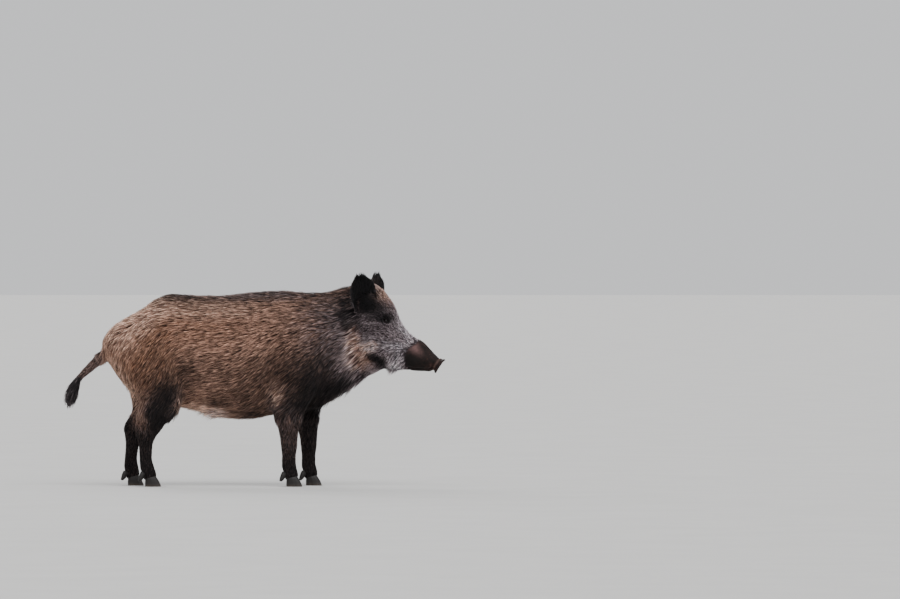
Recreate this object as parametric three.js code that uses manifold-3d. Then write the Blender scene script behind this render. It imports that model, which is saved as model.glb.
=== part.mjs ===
// A standing European wild boar (Sus scrofa), life size, out to the tips of its coat.
// Millimetres, +Z up, +X towards the snout, +Y towards the animal's left side.
// The body is lofted from stations. Each station is a planar rib: a point on the upper (or front)
// outline, a point on the lower (or rear) outline, and a half width across the animal.
import * as THREE from "three";
import { mergeVertices } from "three/addons/utils/BufferGeometryUtils.js";
import Module from "manifold-3d";

const wasm = await Module();
wasm.setup();

// ---------------------------------------------------------------- driving dimensions
const GAP = 0.4; // clearance between neighbouring pieces
const ROOM = 1.6; // clearance where a piece stands on a surface with other facets
const HEAD_TURN = THREE.MathUtils.degToRad(12); // the head looks a little to the animal's right
const TURN_FROM = 300; // x where the neck starts to turn
const TURN_TO = 430; // x where the head has turned all the way
const FORE_STRIDE = 38; // how far a fore hoof stands ahead of or behind the mean
const HIND_STRIDE = 37; // the same for a hind hoof
const FORE_SWING = [560, 230]; // heights where the foreleg's stride starts and where it is full
const HIND_SWING = [620, 40]; // the same for a hind leg
const EYE_RADIUS = 12.5;
const EYE = { x: 545, y: 69, z: 660 }; // centre of the left eyeball
const HOOF_HEIGHT = 44;

// ---------------------------------------------------------------- materials
const finish = (color, roughness) =>
  new THREE.MeshStandardMaterial({ color, roughness, metalness: 0 });
const coatBrown = finish(0x6b5444, 0.85);
const coatGrey = finish(0x75675f, 0.85);
const coatDark = finish(0x2a2321, 0.85);
const earBlack = finish(0x1a1617, 0.9);
const bareSkin = finish(0x2c201d, 0.5);
const hoofHorn = finish(0x1d1816, 0.45);
const eyeGloss = finish(0x120c08, 0.08);

// ---------------------------------------------------------------- solids and booleans
/** A closed BufferGeometry as a manifold-3d solid. */
function solidOf(geometry) {
  const bare = geometry.index ? geometry.toNonIndexed() : geometry.clone();
  bare.deleteAttribute("normal");
  bare.deleteAttribute("uv");
  const merged = mergeVertices(bare, 1e-3);
  return new wasm.Manifold(
    new wasm.Mesh({
      numProp: 3,
      vertProperties: merged.attributes.position.array,
      triVerts: new Uint32Array(merged.index.array),
    }),
  );
}

/** A manifold-3d solid back as a BufferGeometry. */
function geometryOf(solid) {
  const mesh = solid.getMesh();
  const geometry = new THREE.BufferGeometry();
  const places = new THREE.BufferAttribute(new Float32Array(mesh.vertProperties), mesh.numProp);
  geometry.setAttribute("position", places);
  geometry.setIndex(new THREE.BufferAttribute(new Uint32Array(mesh.triVerts), 1));
  geometry.computeVertexNormals();
  return geometry;
}

/** The first geometry without the others. */
function carve(geometry, ...cutters) {
  return geometryOf(cutters.reduce((rest, c) => rest.subtract(solidOf(c)), solidOf(geometry)));
}

/** What two geometries share. */
function common(a, b) {
  return geometryOf(solidOf(a).intersect(solidOf(b)));
}

// ---------------------------------------------------------------- lofting
const signedPower = (value, power) => Math.sign(value) * Math.abs(value) ** power;

/** Smooth curves through a list of stations, read by a number that counts stations. */
class Ribs {
  constructor(stations) {
    const curve = (pick) =>
      new THREE.CatmullRomCurve3(stations.map(pick), false, "catmullrom", 0.5);
    this.last = stations.length - 1;
    this.top = curve((s) => new THREE.Vector3(s.top[0], s.y ?? 0, s.top[1]));
    this.bottom = curve((s) => new THREE.Vector3(s.bottom[0], s.y ?? 0, s.bottom[1]));
    this.girth = curve((s) => new THREE.Vector3(s.half, s.crown ?? 0, s.keel ?? 0));
  }

  /** Centre, half height vector and girth of the rib at a station number. */
  at(u) {
    const t = THREE.MathUtils.clamp(u / this.last, 0, 1);
    const top = this.top.getPoint(t);
    const bottom = this.bottom.getPoint(t);
    const [half, crown, keel] = this.girth.getPoint(t).toArray();
    const centre = top.clone().add(bottom).multiplyScalar(0.5);
    return { centre, up: top.sub(bottom).multiplyScalar(0.5), half, crown, keel };
  }
}

/** Points round one rib. crown and keel narrow its upper and lower half. */
function ribRing(rib, sides, power, grow) {
  const ring = [];
  const tall = 1 + grow / rib.up.length();
  const wide = rib.half + grow;
  for (let i = 0; i < sides; i++) {
    const turn = (2 * Math.PI * i) / sides;
    const rise = signedPower(Math.cos(turn), 2 / power);
    const reach = signedPower(Math.sin(turn), 2 / power);
    const pinch = rise > 0 ? rib.crown * rise ** 1.5 : rib.keel * (-rise) ** 1.5;
    const point = rib.centre.clone().addScaledVector(rib.up, rise * tall);
    point.y += reach * wide * (1 - pinch);
    ring.push(point);
  }
  return ring;
}

/** A closed skin over rings of points, with a fan at each end. */
function skinOver(rings) {
  const sides = rings[0].length;
  const points = rings.flat();
  const faces = [];
  for (let r = 0; r < rings.length - 1; r++) {
    for (let i = 0; i < sides; i++) {
      const a = r * sides + i;
      const b = r * sides + ((i + 1) % sides);
      faces.push(a, b, a + sides, b, b + sides, a + sides);
    }
  }
  for (const r of [0, rings.length - 1]) {
    const middle = points.length;
    const centre = new THREE.Vector3();
    rings[r].forEach((p) => centre.addScaledVector(p, 1 / sides));
    points.push(centre);
    for (let i = 0; i < sides; i++) {
      const a = r * sides + i;
      const b = r * sides + ((i + 1) % sides);
      faces.push(...(r === 0 ? [middle, b, a] : [middle, a, b]));
    }
  }
  return facingOut(new THREE.BufferGeometry().setFromPoints(points).setIndex(faces));
}

/** The same closed geometry with its faces pointing out. */
function facingOut(geometry) {
  const p = geometry.attributes.position;
  const index = geometry.index.array;
  const corner = (k) => new THREE.Vector3().fromBufferAttribute(p, index[k]);
  let volume = 0;
  for (let k = 0; k < index.length; k += 3) {
    volume += corner(k).dot(corner(k + 1).cross(corner(k + 2)));
  }
  if (volume < 0) {
    for (let k = 0; k < index.length; k += 3) {
      [index[k + 1], index[k + 2]] = [index[k + 2], index[k + 1]];
    }
  }
  geometry.computeVertexNormals();
  return geometry;
}

/** A solid over the ribs from one station number to another. grow swells it on every side. */
function loft(ribs, { from = 0, to = ribs.last, per = 2, sides = 20, power = 2.2, grow = 0 }) {
  const count = Math.max(2, Math.round((to - from) * per));
  const rings = [];
  for (let r = 0; r <= count; r++) {
    rings.push(ribRing(ribs.at(from + ((to - from) * r) / count), sides, power, grow));
  }
  if (grow) {
    pushOut(rings[0], rings[1], grow);
    pushOut(rings.at(-1), rings.at(-2), grow);
  }
  return skinOver(rings);
}

/** Moves an end ring away from its neighbour. */
function pushOut(ring, neighbour, distance) {
  const away = ring[0].clone().sub(neighbour[0]);
  const across = ring[ring.length / 2].clone().sub(neighbour[ring.length / 2]);
  away.add(across).setLength(distance);
  ring.forEach((p) => p.add(away));
}

/** Half of the gap at a cut, in station numbers. */
const halfGap = (ribs, u) =>
  GAP / 2 / ribs.at(u + 0.05).centre.distanceTo(ribs.at(u - 0.05).centre) / 10;

/** Lofts each stretch between cuts as a piece of its own. */
function loftPieces(ribs, cuts, options) {
  const bounds = [0, ...cuts, ribs.last];
  return bounds.slice(0, -1).map((from, i) => {
    const to = bounds[i + 1];
    return loft(ribs, {
      ...options,
      from: i === 0 ? from : from + halfGap(ribs, from),
      to: i === cuts.length ? to : to - halfGap(ribs, to),
    });
  });
}

// ---------------------------------------------------------------- the turn of the head
/** Bends a geometry sideways along an arc, so that what lies beyond TURN_TO turns as one. */
function turned(geometry) {
  const p = geometry.attributes.position;
  const radius = (TURN_TO - TURN_FROM) / HEAD_TURN;
  for (let i = 0; i < p.count; i++) {
    const x = p.getX(i);
    const y = p.getY(i);
    const share = THREE.MathUtils.clamp((x - TURN_FROM) / (TURN_TO - TURN_FROM), 0, 1);
    const heading = -HEAD_TURN * share;
    const straight = x < TURN_FROM ? x - TURN_FROM : Math.max(0, x - TURN_TO);
    const spineX = TURN_FROM + radius * Math.sin(-heading) + straight * Math.cos(heading);
    const spineY = -radius * (1 - Math.cos(heading)) + straight * Math.sin(heading);
    p.setXY(i, spineX - y * Math.sin(heading), spineY + y * Math.cos(heading));
  }
  geometry.computeVertexNormals();
  return geometry;
}

// ---------------------------------------------------------------- torso stations, rump to snout
const TORSO = [
  { top: [-611, 578], bottom: [-603, 532], half: 34 }, // over the root of the tail
  { top: [-602, 602], bottom: [-576, 478], half: 84 },
  { top: [-576, 634], bottom: [-540, 424], half: 112, crown: 0.1 },
  { top: [-532, 668], bottom: [-492, 384], half: 131, crown: 0.2 },
  { top: [-465, 702], bottom: [-432, 352], half: 146, crown: 0.3 }, // hips
  { top: [-402, 748], bottom: [-372, 332], half: 154, crown: 0.38 },
  { top: [-340, 771], bottom: [-318, 320], half: 160, crown: 0.42 }, // start of the crest
  { top: [-260, 767], bottom: [-250, 311], half: 166, crown: 0.4 },
  { top: [-180, 763], bottom: [-178, 299], half: 171, crown: 0.38 }, // loin
  { top: [-100, 766], bottom: [-96, 283], half: 173, crown: 0.38 },
  { top: [-16, 776], bottom: [-14, 275], half: 171, crown: 0.4 }, // deepest belly
  { top: [65, 782], bottom: [68, 284], half: 164, crown: 0.43 },
  { top: [135, 784], bottom: [140, 299], half: 156, crown: 0.46, keel: 0.1 }, // withers
  { top: [206, 776], bottom: [214, 306], half: 147, crown: 0.46, keel: 0.2 },
  { top: [262, 776], bottom: [286, 324], half: 136, crown: 0.44, keel: 0.3 }, // brisket
  { top: [312, 781], bottom: [346, 372], half: 122, crown: 0.4, keel: 0.3 },
  { top: [354, 793], bottom: [396, 404], half: 111, crown: 0.34, keel: 0.25 }, // neck
  { top: [398, 808], bottom: [440, 424], half: 104, crown: 0.28, keel: 0.2 },
  { top: [438, 816], bottom: [478, 446], half: 101, crown: 0.24, keel: 0.2 }, // poll
  { top: [478, 812], bottom: [506, 466], half: 99, crown: 0.32, keel: 0.25 },
  { top: [514, 790], bottom: [532, 470], half: 95, crown: 0.42, keel: 0.3 }, // forehead
  { top: [541, 750], bottom: [555, 466], half: 87, crown: 0.42, keel: 0.3 },
  { top: [566, 708], bottom: [578, 463], half: 75, crown: 0.36, keel: 0.25 }, // below the eye
  { top: [587, 668], bottom: [600, 466], half: 62, crown: 0.3, keel: 0.2 },
  { top: [610, 632], bottom: [624, 465], half: 51, crown: 0.28, keel: 0.15 },
  { top: [640, 600], bottom: [651, 462], half: 43, crown: 0.24, keel: 0.12 },
  { top: [675, 571], bottom: [680, 462], half: 38, crown: 0.2, keel: 0.1 }, // bridge of the snout
  { top: [710, 544], bottom: [706, 461], half: 35, crown: 0.16, keel: 0.1 },
  { top: [739, 518], bottom: [719, 458], half: 34, crown: 0.12, keel: 0.08 },
];
const NECK_CUT = 14.5; // between the brisket and the neck
const HEAD_CUT = 17.6; // behind the ears and the angle of the jaw
const torso = new Ribs(TORSO);

// The lips meet along this line, which rises from the chin to the corner of the mouth.
const MOUTH_FRONT = new THREE.Vector2(760, 472);
const MOUTH_CORNER = new THREE.Vector2(500, 508);
const JAW_REAR = new THREE.Vector2(484, 452);

/** The wedge of space that the lower jaw fills, swollen by grow along the lip line. */
function jawSpace(grow) {
  const outline = new THREE.Shape([
    new THREE.Vector2(MOUTH_FRONT.x + grow, MOUTH_FRONT.y + grow),
    new THREE.Vector2(MOUTH_CORNER.x - grow, MOUTH_CORNER.y + 1.5 * grow),
    new THREE.Vector2(JAW_REAR.x - 1.5 * grow, JAW_REAR.y),
    new THREE.Vector2(JAW_REAR.x - 1.5 * grow, JAW_REAR.y - 60),
    new THREE.Vector2(MOUTH_FRONT.x + grow, JAW_REAR.y - 60),
  ]);
  const wedge = new THREE.ExtrudeGeometry(outline, { depth: 200, bevelEnabled: false });
  return wedge.rotateX(Math.PI / 2).translate(0, 100, 0);
}

/** An ellipsoid at a place in the unturned frame. */
function ellipsoid(radii, at, rows = 10) {
  const ball = new THREE.SphereGeometry(1, 2 * rows, rows);
  return ball.scale(...radii).translate(...at);
}

// ---------------------------------------------------------------- snout disc and nostrils
const DISC = new Ribs([
  { top: [752, 508], bottom: [720, 460], half: 33 },
  { top: [759, 511], bottom: [722, 454], half: 37 },
  { top: [766, 509], bottom: [728, 452], half: 38 },
  { top: [767, 503], bottom: [736, 457], half: 33 },
]);
const DISC_TILT = Math.atan2(38, 57); // the disc faces forwards and down

/** The snout disc with its two nostrils. */
function snoutDisc() {
  const nostrils = [-1, 1].map((side) =>
    new THREE.SphereGeometry(1, 10, 6)
      .scale(14, 6.5, 8.5)
      .rotateY(DISC_TILT)
      .translate(752, 13.5 * side, 479),
  );
  return carve(loft(DISC, { per: 1.5, sides: 20, power: 2.3 }), ...nostrils);
}

// ---------------------------------------------------------------- ears
const EAR = {
  length: 160,
  width: 49, // half of the widest breadth
  depth: 24, // how deep the cup is
  thick: 9, // shell with its hair
  outward: THREE.MathUtils.degToRad(10), // how far the tips lean apart
};
// Angles in degrees: the cup opens face degrees out from straight ahead, and the tip leans back.
const EAR_POSE = {
  left: { side: 1, root: [470, 62, 700], face: 50, back: -2 },
  right: { side: -1, root: [458, -62, 698], face: 64, back: 12 },
};

/** A cupped ear with a pointed tip. */
function ear({ side, root, face, back }) {
  const rows = 9;
  const across = 6;
  const rings = [];
  for (let r = 0; r <= rows; r++) {
    const t = r / rows;
    const breadth = EAR.width * (0.7 + 0.95 * t - 0.75 * t ** 2) * Math.sqrt(1 - 0.97 * t ** 4);
    const cup = EAR.depth * (1.2 - t) * (breadth / EAR.width);
    const shell = EAR.thick * (1 - 0.45 * t);
    const ring = [];
    for (const back of [true, false]) {
      for (let i = 0; i < across; i++) {
        const s = (back ? 1 : -1) * ((2 * i) / across - 1);
        const bow = (cup + (back ? shell : 0)) * (1 - s * s);
        ring.push(new THREE.Vector3(cup * 0.5 - bow, s * breadth, t * EAR.length));
      }
    }
    rings.push(ring);
  }
  const shape = skinOver(rings).rotateZ(side * THREE.MathUtils.degToRad(face));
  shape.rotateX(-side * EAR.outward).rotateY(-THREE.MathUtils.degToRad(back));
  return shape.translate(...root);
}

// ---------------------------------------------------------------- tail
const TAIL = new Ribs([
  { top: [-580, 566], bottom: [-572, 520], half: 21 },
  { top: [-608, 548], bottom: [-594, 504], half: 19 },
  { top: [-640, 517], bottom: [-622, 481], half: 15 },
  { top: [-670, 484], bottom: [-653, 457], half: 12 },
  { top: [-696, 456], bottom: [-682, 433], half: 11 },
  { top: [-710, 445], bottom: [-688, 424], half: 12 },
  { top: [-733, 426], bottom: [-690, 402], half: 19 },
  { top: [-750, 392], bottom: [-703, 368], half: 21 },
  { top: [-756, 352], bottom: [-718, 338], half: 16 },
  { top: [-745, 325], bottom: [-729, 322], half: 6 },
]);
const TUFT_CUT = 5;

// ---------------------------------------------------------------- leg stations, top to hoof
// top is the front outline here and bottom the rear outline.
const FORELEG = [
  { top: [214, 640], bottom: [148, 646], y: 62, half: 30 }, // shoulder blade
  { top: [250, 580], bottom: [112, 592], y: 84, half: 50 },
  { top: [278, 512], bottom: [86, 526], y: 98, half: 62 },
  { top: [286, 446], bottom: [72, 460], y: 102, half: 63 }, // point of the shoulder
  { top: [276, 388], bottom: [70, 404], y: 99, half: 56 },
  { top: [254, 338], bottom: [80, 352], y: 95, half: 48 }, // elbow
  { top: [232, 292], bottom: [106, 296], y: 91, half: 41 },
  { top: [220, 244], bottom: [127, 246], y: 88, half: 35 }, // forearm
  { top: [214, 198], bottom: [139, 198], y: 86, half: 30 },
  { top: [213, 162], bottom: [143, 162], y: 84, half: 29 }, // knee
  { top: [204, 120], bottom: [150, 120], y: 82, half: 24 }, // cannon
  { top: [206, 84], bottom: [147, 80], y: 81, half: 27 }, // fetlock
  { top: [213, 58], bottom: [156, 52], y: 80, half: 27 },
  { top: [214, 44], bottom: [164, 37], y: 80, half: 24 }, // coronet
];
const HINDLEG = [
  { top: [-378, 668], bottom: [-468, 660], y: 52, half: 34 }, // hip
  { top: [-330, 604], bottom: [-530, 598], y: 82, half: 57 },
  { top: [-294, 530], bottom: [-553, 524], y: 96, half: 70 },
  { top: [-282, 456], bottom: [-530, 456], y: 99, half: 71 }, // thigh
  { top: [-290, 392], bottom: [-500, 398], y: 98, half: 63 },
  { top: [-304, 340], bottom: [-482, 350], y: 96, half: 53 }, // stifle
  { top: [-336, 292], bottom: [-482, 306], y: 94, half: 44 },
  { top: [-380, 254], bottom: [-492, 270], y: 92, half: 36 }, // shank
  { top: [-404, 222], bottom: [-506, 238], y: 90, half: 31 }, // point of the hock
  { top: [-424, 190], bottom: [-497, 202], y: 88, half: 28 },
  { top: [-437, 152], bottom: [-489, 156], y: 87, half: 24 }, // cannon
  { top: [-440, 112], bottom: [-490, 112], y: 86, half: 23 },
  { top: [-434, 82], bottom: [-492, 78], y: 85, half: 27 }, // fetlock
  { top: [-427, 58], bottom: [-484, 52], y: 84, half: 27 },
  { top: [-426, 44], bottom: [-476, 37], y: 84, half: 24 }, // coronet
];
const FORE_CUTS = [6.2, 10]; // below the elbow, and above the fetlock
const HIND_CUTS = [6.2, 10.2]; // above the hock, and below it

const FORE_FOOT = { x: 193, y: 80 }; // middle of the hooves before the stride
const HIND_FOOT = { x: -446, y: 84 };

/** A leg's stations for one side, swung fore or aft by stride at the hoof. */
function legRibs(stations, side, stride, [high, low]) {
  const share = (z) => THREE.MathUtils.clamp((high - z) / (high - low), 0, 1);
  const swing = ([x, z]) => [x + stride * share(z), z];
  return new Ribs(
    stations.map((s) => ({
      ...s,
      top: swing(s.top),
      bottom: swing(s.bottom),
      y: s.y * side,
    })),
  );
}

/** One main hoof: flat sole, sloping toe, standing on the floor. */
function mainHoof() {
  const wall = new Ribs([
    { top: [38, 0], bottom: [-26, 0], half: 12.8 },
    { top: [37, 4], bottom: [-27, 4], half: 13.6 },
    { top: [30, 20], bottom: [-27, 18], half: 13.6 },
    { top: [21, 35], bottom: [-26, 28], half: 12.6 },
    { top: [16, HOOF_HEIGHT - 2], bottom: [-24, 33], half: 11 },
  ]);
  return loft(wall, { per: 1, sides: 12, power: 2.1 });
}

/** One dewclaw, a small curved spur that points back and down. */
function dewclaw() {
  const spur = new Ribs([
    { top: [8, 44], bottom: [-12, 52], half: 8.5 },
    { top: [4, 32], bottom: [-18, 40], half: 9 },
    { top: [-4, 20], bottom: [-22, 27], half: 7.5 },
    { top: [-14, 12], bottom: [-24, 15], half: 4.5 },
  ]);
  return loft(spur, { per: 1, sides: 8, power: 2 });
}

const boar = new THREE.Group();

/** Adds a named mesh to a group. */
function add(group, name, geometry, material) {
  const mesh = new THREE.Mesh(geometry, material);
  mesh.name = name;
  group.add(mesh);
  return mesh;
}

/** Hooves and dewclaws of one foot, in a group that stands at the foot's place. */
function addHooves(limb, side, foot, stride, flesh) {
  const claws = new THREE.Group();
  claws.position.set(foot.x + stride, foot.y * side, 0);
  const toCarve = flesh.clone().translate(-claws.position.x, -claws.position.y, 0);
  for (const [name, sign] of [["inner", -side], ["outer", side]]) {
    const spread = 14.2;
    const hoof = mainHoof().rotateZ(sign * 0.05).translate(0, sign * spread, 0);
    add(claws, `${limb}_hoof_${name}`, carve(hoof, toCarve), hoofHorn);
    const spur = dewclaw().rotateZ(-sign * 0.35).translate(-32, sign * 20, 8);
    add(claws, `${limb}_dewclaw_${name}`, carve(spur, toCarve), hoofHorn);
  }
  boar.add(claws);
}

const LEG_LOOK = { per: 1.1, sides: 16, power: 2.15 };

/** One whole leg. Returns its topmost piece, swollen, so that the trunk can make room for it. */
function addLeg(limb, names, { stations, cuts, side, stride, reach, foot }) {
  const ribs = legRibs(stations, side, stride, reach);
  const pieces = loftPieces(ribs, cuts, LEG_LOOK);
  const looks = [coatBrown, coatDark, coatDark];
  pieces.forEach((piece, i) => add(boar, `${limb}_${names[i]}`, piece, looks[i]));
  const swollen = loft(ribs, { ...LEG_LOOK, from: cuts[1], grow: GAP });
  addHooves(limb, side, foot, stride, swollen);
  return loft(ribs, { ...LEG_LOOK, to: cuts[0], grow: GAP });
}

const LEGS = [
  { limb: "fore_left", side: 1, stride: FORE_STRIDE },
  { limb: "fore_right", side: -1, stride: -FORE_STRIDE },
  { limb: "hind_left", side: 1, stride: -HIND_STRIDE },
  { limb: "hind_right", side: -1, stride: HIND_STRIDE },
];
const rooms = LEGS.map(({ limb, side, stride }) =>
  limb.startsWith("fore")
    ? addLeg(limb, ["shoulder", "forearm", "foot"], {
        stations: FORELEG,
        cuts: FORE_CUTS,
        reach: FORE_SWING,
        foot: FORE_FOOT,
        side,
        stride,
      })
    : addLeg(limb, ["thigh", "shank", "foot"], {
        stations: HINDLEG,
        cuts: HIND_CUTS,
        reach: HIND_SWING,
        foot: HIND_FOOT,
        side,
        stride,
      }),
);

// ---------------------------------------------------------------- trunk, neck and head
const TORSO_LOOK = { sides: 24, power: 2.25, per: 1.2 };
const [trunk, neck, skull] = loftPieces(torso, [NECK_CUT, HEAD_CUT], TORSO_LOOK);
add(boar, "trunk", turned(carve(trunk, ...rooms)), coatBrown);
add(boar, "neck", turned(neck), coatGrey);

const sides = [
  ["left", 1],
  ["right", -1],
];
const sockets = sides.flatMap(([, side]) => [
  ellipsoid(Array(3).fill(EYE_RADIUS + GAP), [EYE.x, EYE.y * side, EYE.z]),
  ellipsoid([15, 16, 9], [EYE.x + 2, (EYE.y + 15) * side, EYE.z - 1]),
]);
const jaw = common(skull, jawSpace(0));
const discRoom = loft(DISC, { per: 1.5, sides: 20, power: 2.3, grow: GAP });
const head = carve(skull, jawSpace(GAP), discRoom, ...sockets);
add(boar, "head", turned(head), coatGrey);
add(boar, "jaw", turned(carve(jaw, discRoom)), coatDark);
add(boar, "snout_disc", turned(snoutDisc()), bareSkin);

const skullRoom = loft(torso, { ...TORSO_LOOK, from: HEAD_CUT - 2, grow: ROOM });
for (const [name, side] of sides) {
  const ball = ellipsoid(Array(3).fill(EYE_RADIUS), [EYE.x, EYE.y * side, EYE.z], 8);
  add(boar, `eye_${name}`, turned(ball), eyeGloss);
  add(boar, `ear_${name}`, turned(carve(ear(EAR_POSE[name]), skullRoom)), earBlack);
}

// ---------------------------------------------------------------- tail
const [tail, tuft] = loftPieces(TAIL, [TUFT_CUT], { per: 1.5, sides: 10, power: 2 });
const rumpRoom = loft(torso, { ...TORSO_LOOK, to: 6, grow: ROOM });
add(boar, "tail", carve(tail, rumpRoom), coatGrey);
add(boar, "tail_tuft", tuft, earBlack);

// The origin is on the floor, under the middle of the animal's box.
const extent = new THREE.Box3().setFromObject(boar, true);
const middle = extent.getCenter(new THREE.Vector3());
boar.position.set(-middle.x, -middle.y, -extent.min.z);

export default boar;
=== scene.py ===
"""A standing wild boar at life size: one skin, a bristly coat of mesh tufts, eyes and hooves.

All lengths are in metres in the part's own frame: +X towards the snout, +Y towards the
animal's left side, +Z up, with the origin on the floor under the middle of its box. Places
called straight are those of a straightened animal, which looks ahead.
"""
import logging
import math
from collections.abc import Callable
from dataclasses import dataclass, field, replace
from enum import Enum

import bmesh
import bpy
import numpy as np
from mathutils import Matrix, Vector
from mathutils.bvhtree import BVHTree
from mathutils.kdtree import KDTree


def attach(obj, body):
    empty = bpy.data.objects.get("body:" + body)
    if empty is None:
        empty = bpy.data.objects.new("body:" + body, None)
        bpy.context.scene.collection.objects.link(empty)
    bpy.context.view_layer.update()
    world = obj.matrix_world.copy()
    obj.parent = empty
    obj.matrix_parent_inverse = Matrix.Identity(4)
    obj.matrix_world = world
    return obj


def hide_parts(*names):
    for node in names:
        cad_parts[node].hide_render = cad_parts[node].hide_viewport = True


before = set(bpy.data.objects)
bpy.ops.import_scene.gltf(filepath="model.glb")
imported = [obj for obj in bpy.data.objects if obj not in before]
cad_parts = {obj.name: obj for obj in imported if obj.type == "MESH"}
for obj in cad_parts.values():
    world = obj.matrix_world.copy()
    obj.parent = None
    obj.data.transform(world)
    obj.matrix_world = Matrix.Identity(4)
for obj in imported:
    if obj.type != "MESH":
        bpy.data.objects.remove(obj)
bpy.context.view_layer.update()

Array = np.ndarray
Colour = tuple[float, float, float]
Spot = tuple[float, float, float]
Pair = tuple[float, float]
Mesh = bpy.types.Mesh
Piece = bpy.types.Object
Material = bpy.types.Material
Socket = bpy.types.NodeSocket
RELAX = (0.55, -0.57)
SETTLE = (0.5,)
log = logging.getLogger("boar")


# ---- small helpers
def unit(vectors: Array) -> Array:
    """Vectors scaled to length one."""
    return vectors / np.maximum(np.linalg.norm(vectors, axis=-1, keepdims=True), 1e-12)


def ease(values: Array, low: float, high: float) -> Array:
    """A smooth step that rises from 0 at low to 1 at high."""
    t = np.clip((values - low) / (high - low), 0.0, 1.0)
    return t * t * (3.0 - 2.0 * t)


def within(values: Array, low: float, high: float, soft: float) -> Array:
    """A smooth window: 1 between low and high, and 0 beyond soft outside them."""
    return ease(values, low - soft, low) * (1.0 - ease(values, high, high + soft))


def bell(values: Array, middle: float, width: float) -> Array:
    """A smooth bump: 1 at the middle, fading over the width on both sides."""
    return np.exp(-(((values - middle) / width) ** 2))


def slanted(x: Array, z: Array, slant: float) -> tuple[Array, Array]:
    """Lengths along and across a direction that is tipped nose up by the slant."""
    sine, cosine = math.sin(slant), math.cos(slant)
    return x * cosine + z * sine, z * cosine - x * sine


def linear(*channels: float) -> Colour:
    """A display colour with channels from 0 to 255 as linear light."""
    shares = [channel / 255.0 for channel in channels]
    return tuple(v / 12.92 if v <= 0.04045 else ((v + 0.055) / 1.055) ** 2.4 for v in shares)


def crossed(points: Array, triangles: Array) -> Array:
    """Normals of triangles, each as long as twice its area."""
    a, b, c = (points[triangles[:, corner]] for corner in range(3))
    return np.cross(b - a, c - a)


def merged(shells: list[tuple[Array, Array]]) -> tuple[Array, Array]:
    """Several sets of points and faces as one.

    Args:
        shells: points and faces of each set.

    Returns:
        All points, and all faces with their corners counted on.
    """
    starts = np.cumsum([0] + [len(points) for points, _ in shells])
    faces = [faces + start for (_, faces), start in zip(shells, starts)]
    return np.concatenate([points for points, _ in shells]), np.concatenate(faces)


# ---- the turn of the head
@dataclass(frozen=True)
class HeadTurn:
    """The arc on which the neck turns the head to the animal's right.

    Points and vectors can be taken to a straightened animal, where both sides mirror each
    other, and back.
    """

    start: float = 0.2976
    length: float = 0.130
    angle: float = math.radians(12.0)

    @property
    def radius(self) -> float:
        """Radius of the arc."""
        return self.length / self.angle

    def straighten(self, points: Array) -> Array:
        """Takes points of the turned animal to the straightened one.

        Args:
            points: places in the part's frame.

        Returns:
            The straightened places.
        """
        x = points[:, 0] - self.start
        y = points[:, 1] + self.radius
        heading = np.clip(np.arctan2(x, y), 0.0, self.angle)
        sine, cosine = np.sin(heading), np.cos(heading)
        ahead = x * cosine - y * sine
        aside = x * sine + y * cosine - self.radius
        straight = np.stack([self.start + self.radius * heading + ahead, aside, points[:, 2]], 1)
        behind = x < 0.0
        straight[behind] = points[behind]
        return straight

    def heading(self, straight: Array) -> Array:
        """How far the body has turned at each straightened point, in radians."""
        return np.clip((straight[:, 0] - self.start) / self.length, 0.0, 1.0) * self.angle

    def place(self, straight: Array) -> Array:
        """Takes points of the straightened animal back to the turned one.

        Args:
            straight: straightened places.

        Returns:
            The places in the part's frame.
        """
        heading = self.heading(straight)
        sine, cosine = np.sin(heading), np.cos(heading)
        ahead = straight[:, 0] - self.start - self.radius * heading
        aside = straight[:, 1] + self.radius
        x = self.start + ahead * cosine + aside * sine
        y = aside * cosine - ahead * sine - self.radius
        return np.stack([x, y, straight[:, 2]], 1)

    def swing(self, straight: Array, vectors: Array, way: int = 1) -> Array:
        """Turns vectors with the body at their places.

        Args:
            straight: straightened places.
            vectors: the vectors there.
            way: 1 to the part's frame, and -1 back to the straightened animal.

        Returns:
            The turned vectors.
        """
        heading = self.heading(straight) * way
        sine, cosine = np.sin(heading), np.cos(heading)
        x = vectors[:, 0] * cosine + vectors[:, 1] * sine
        y = vectors[:, 1] * cosine - vectors[:, 0] * sine
        return np.stack([x, y, vectors[:, 2]], 1)


TURN = HeadTurn()


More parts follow.
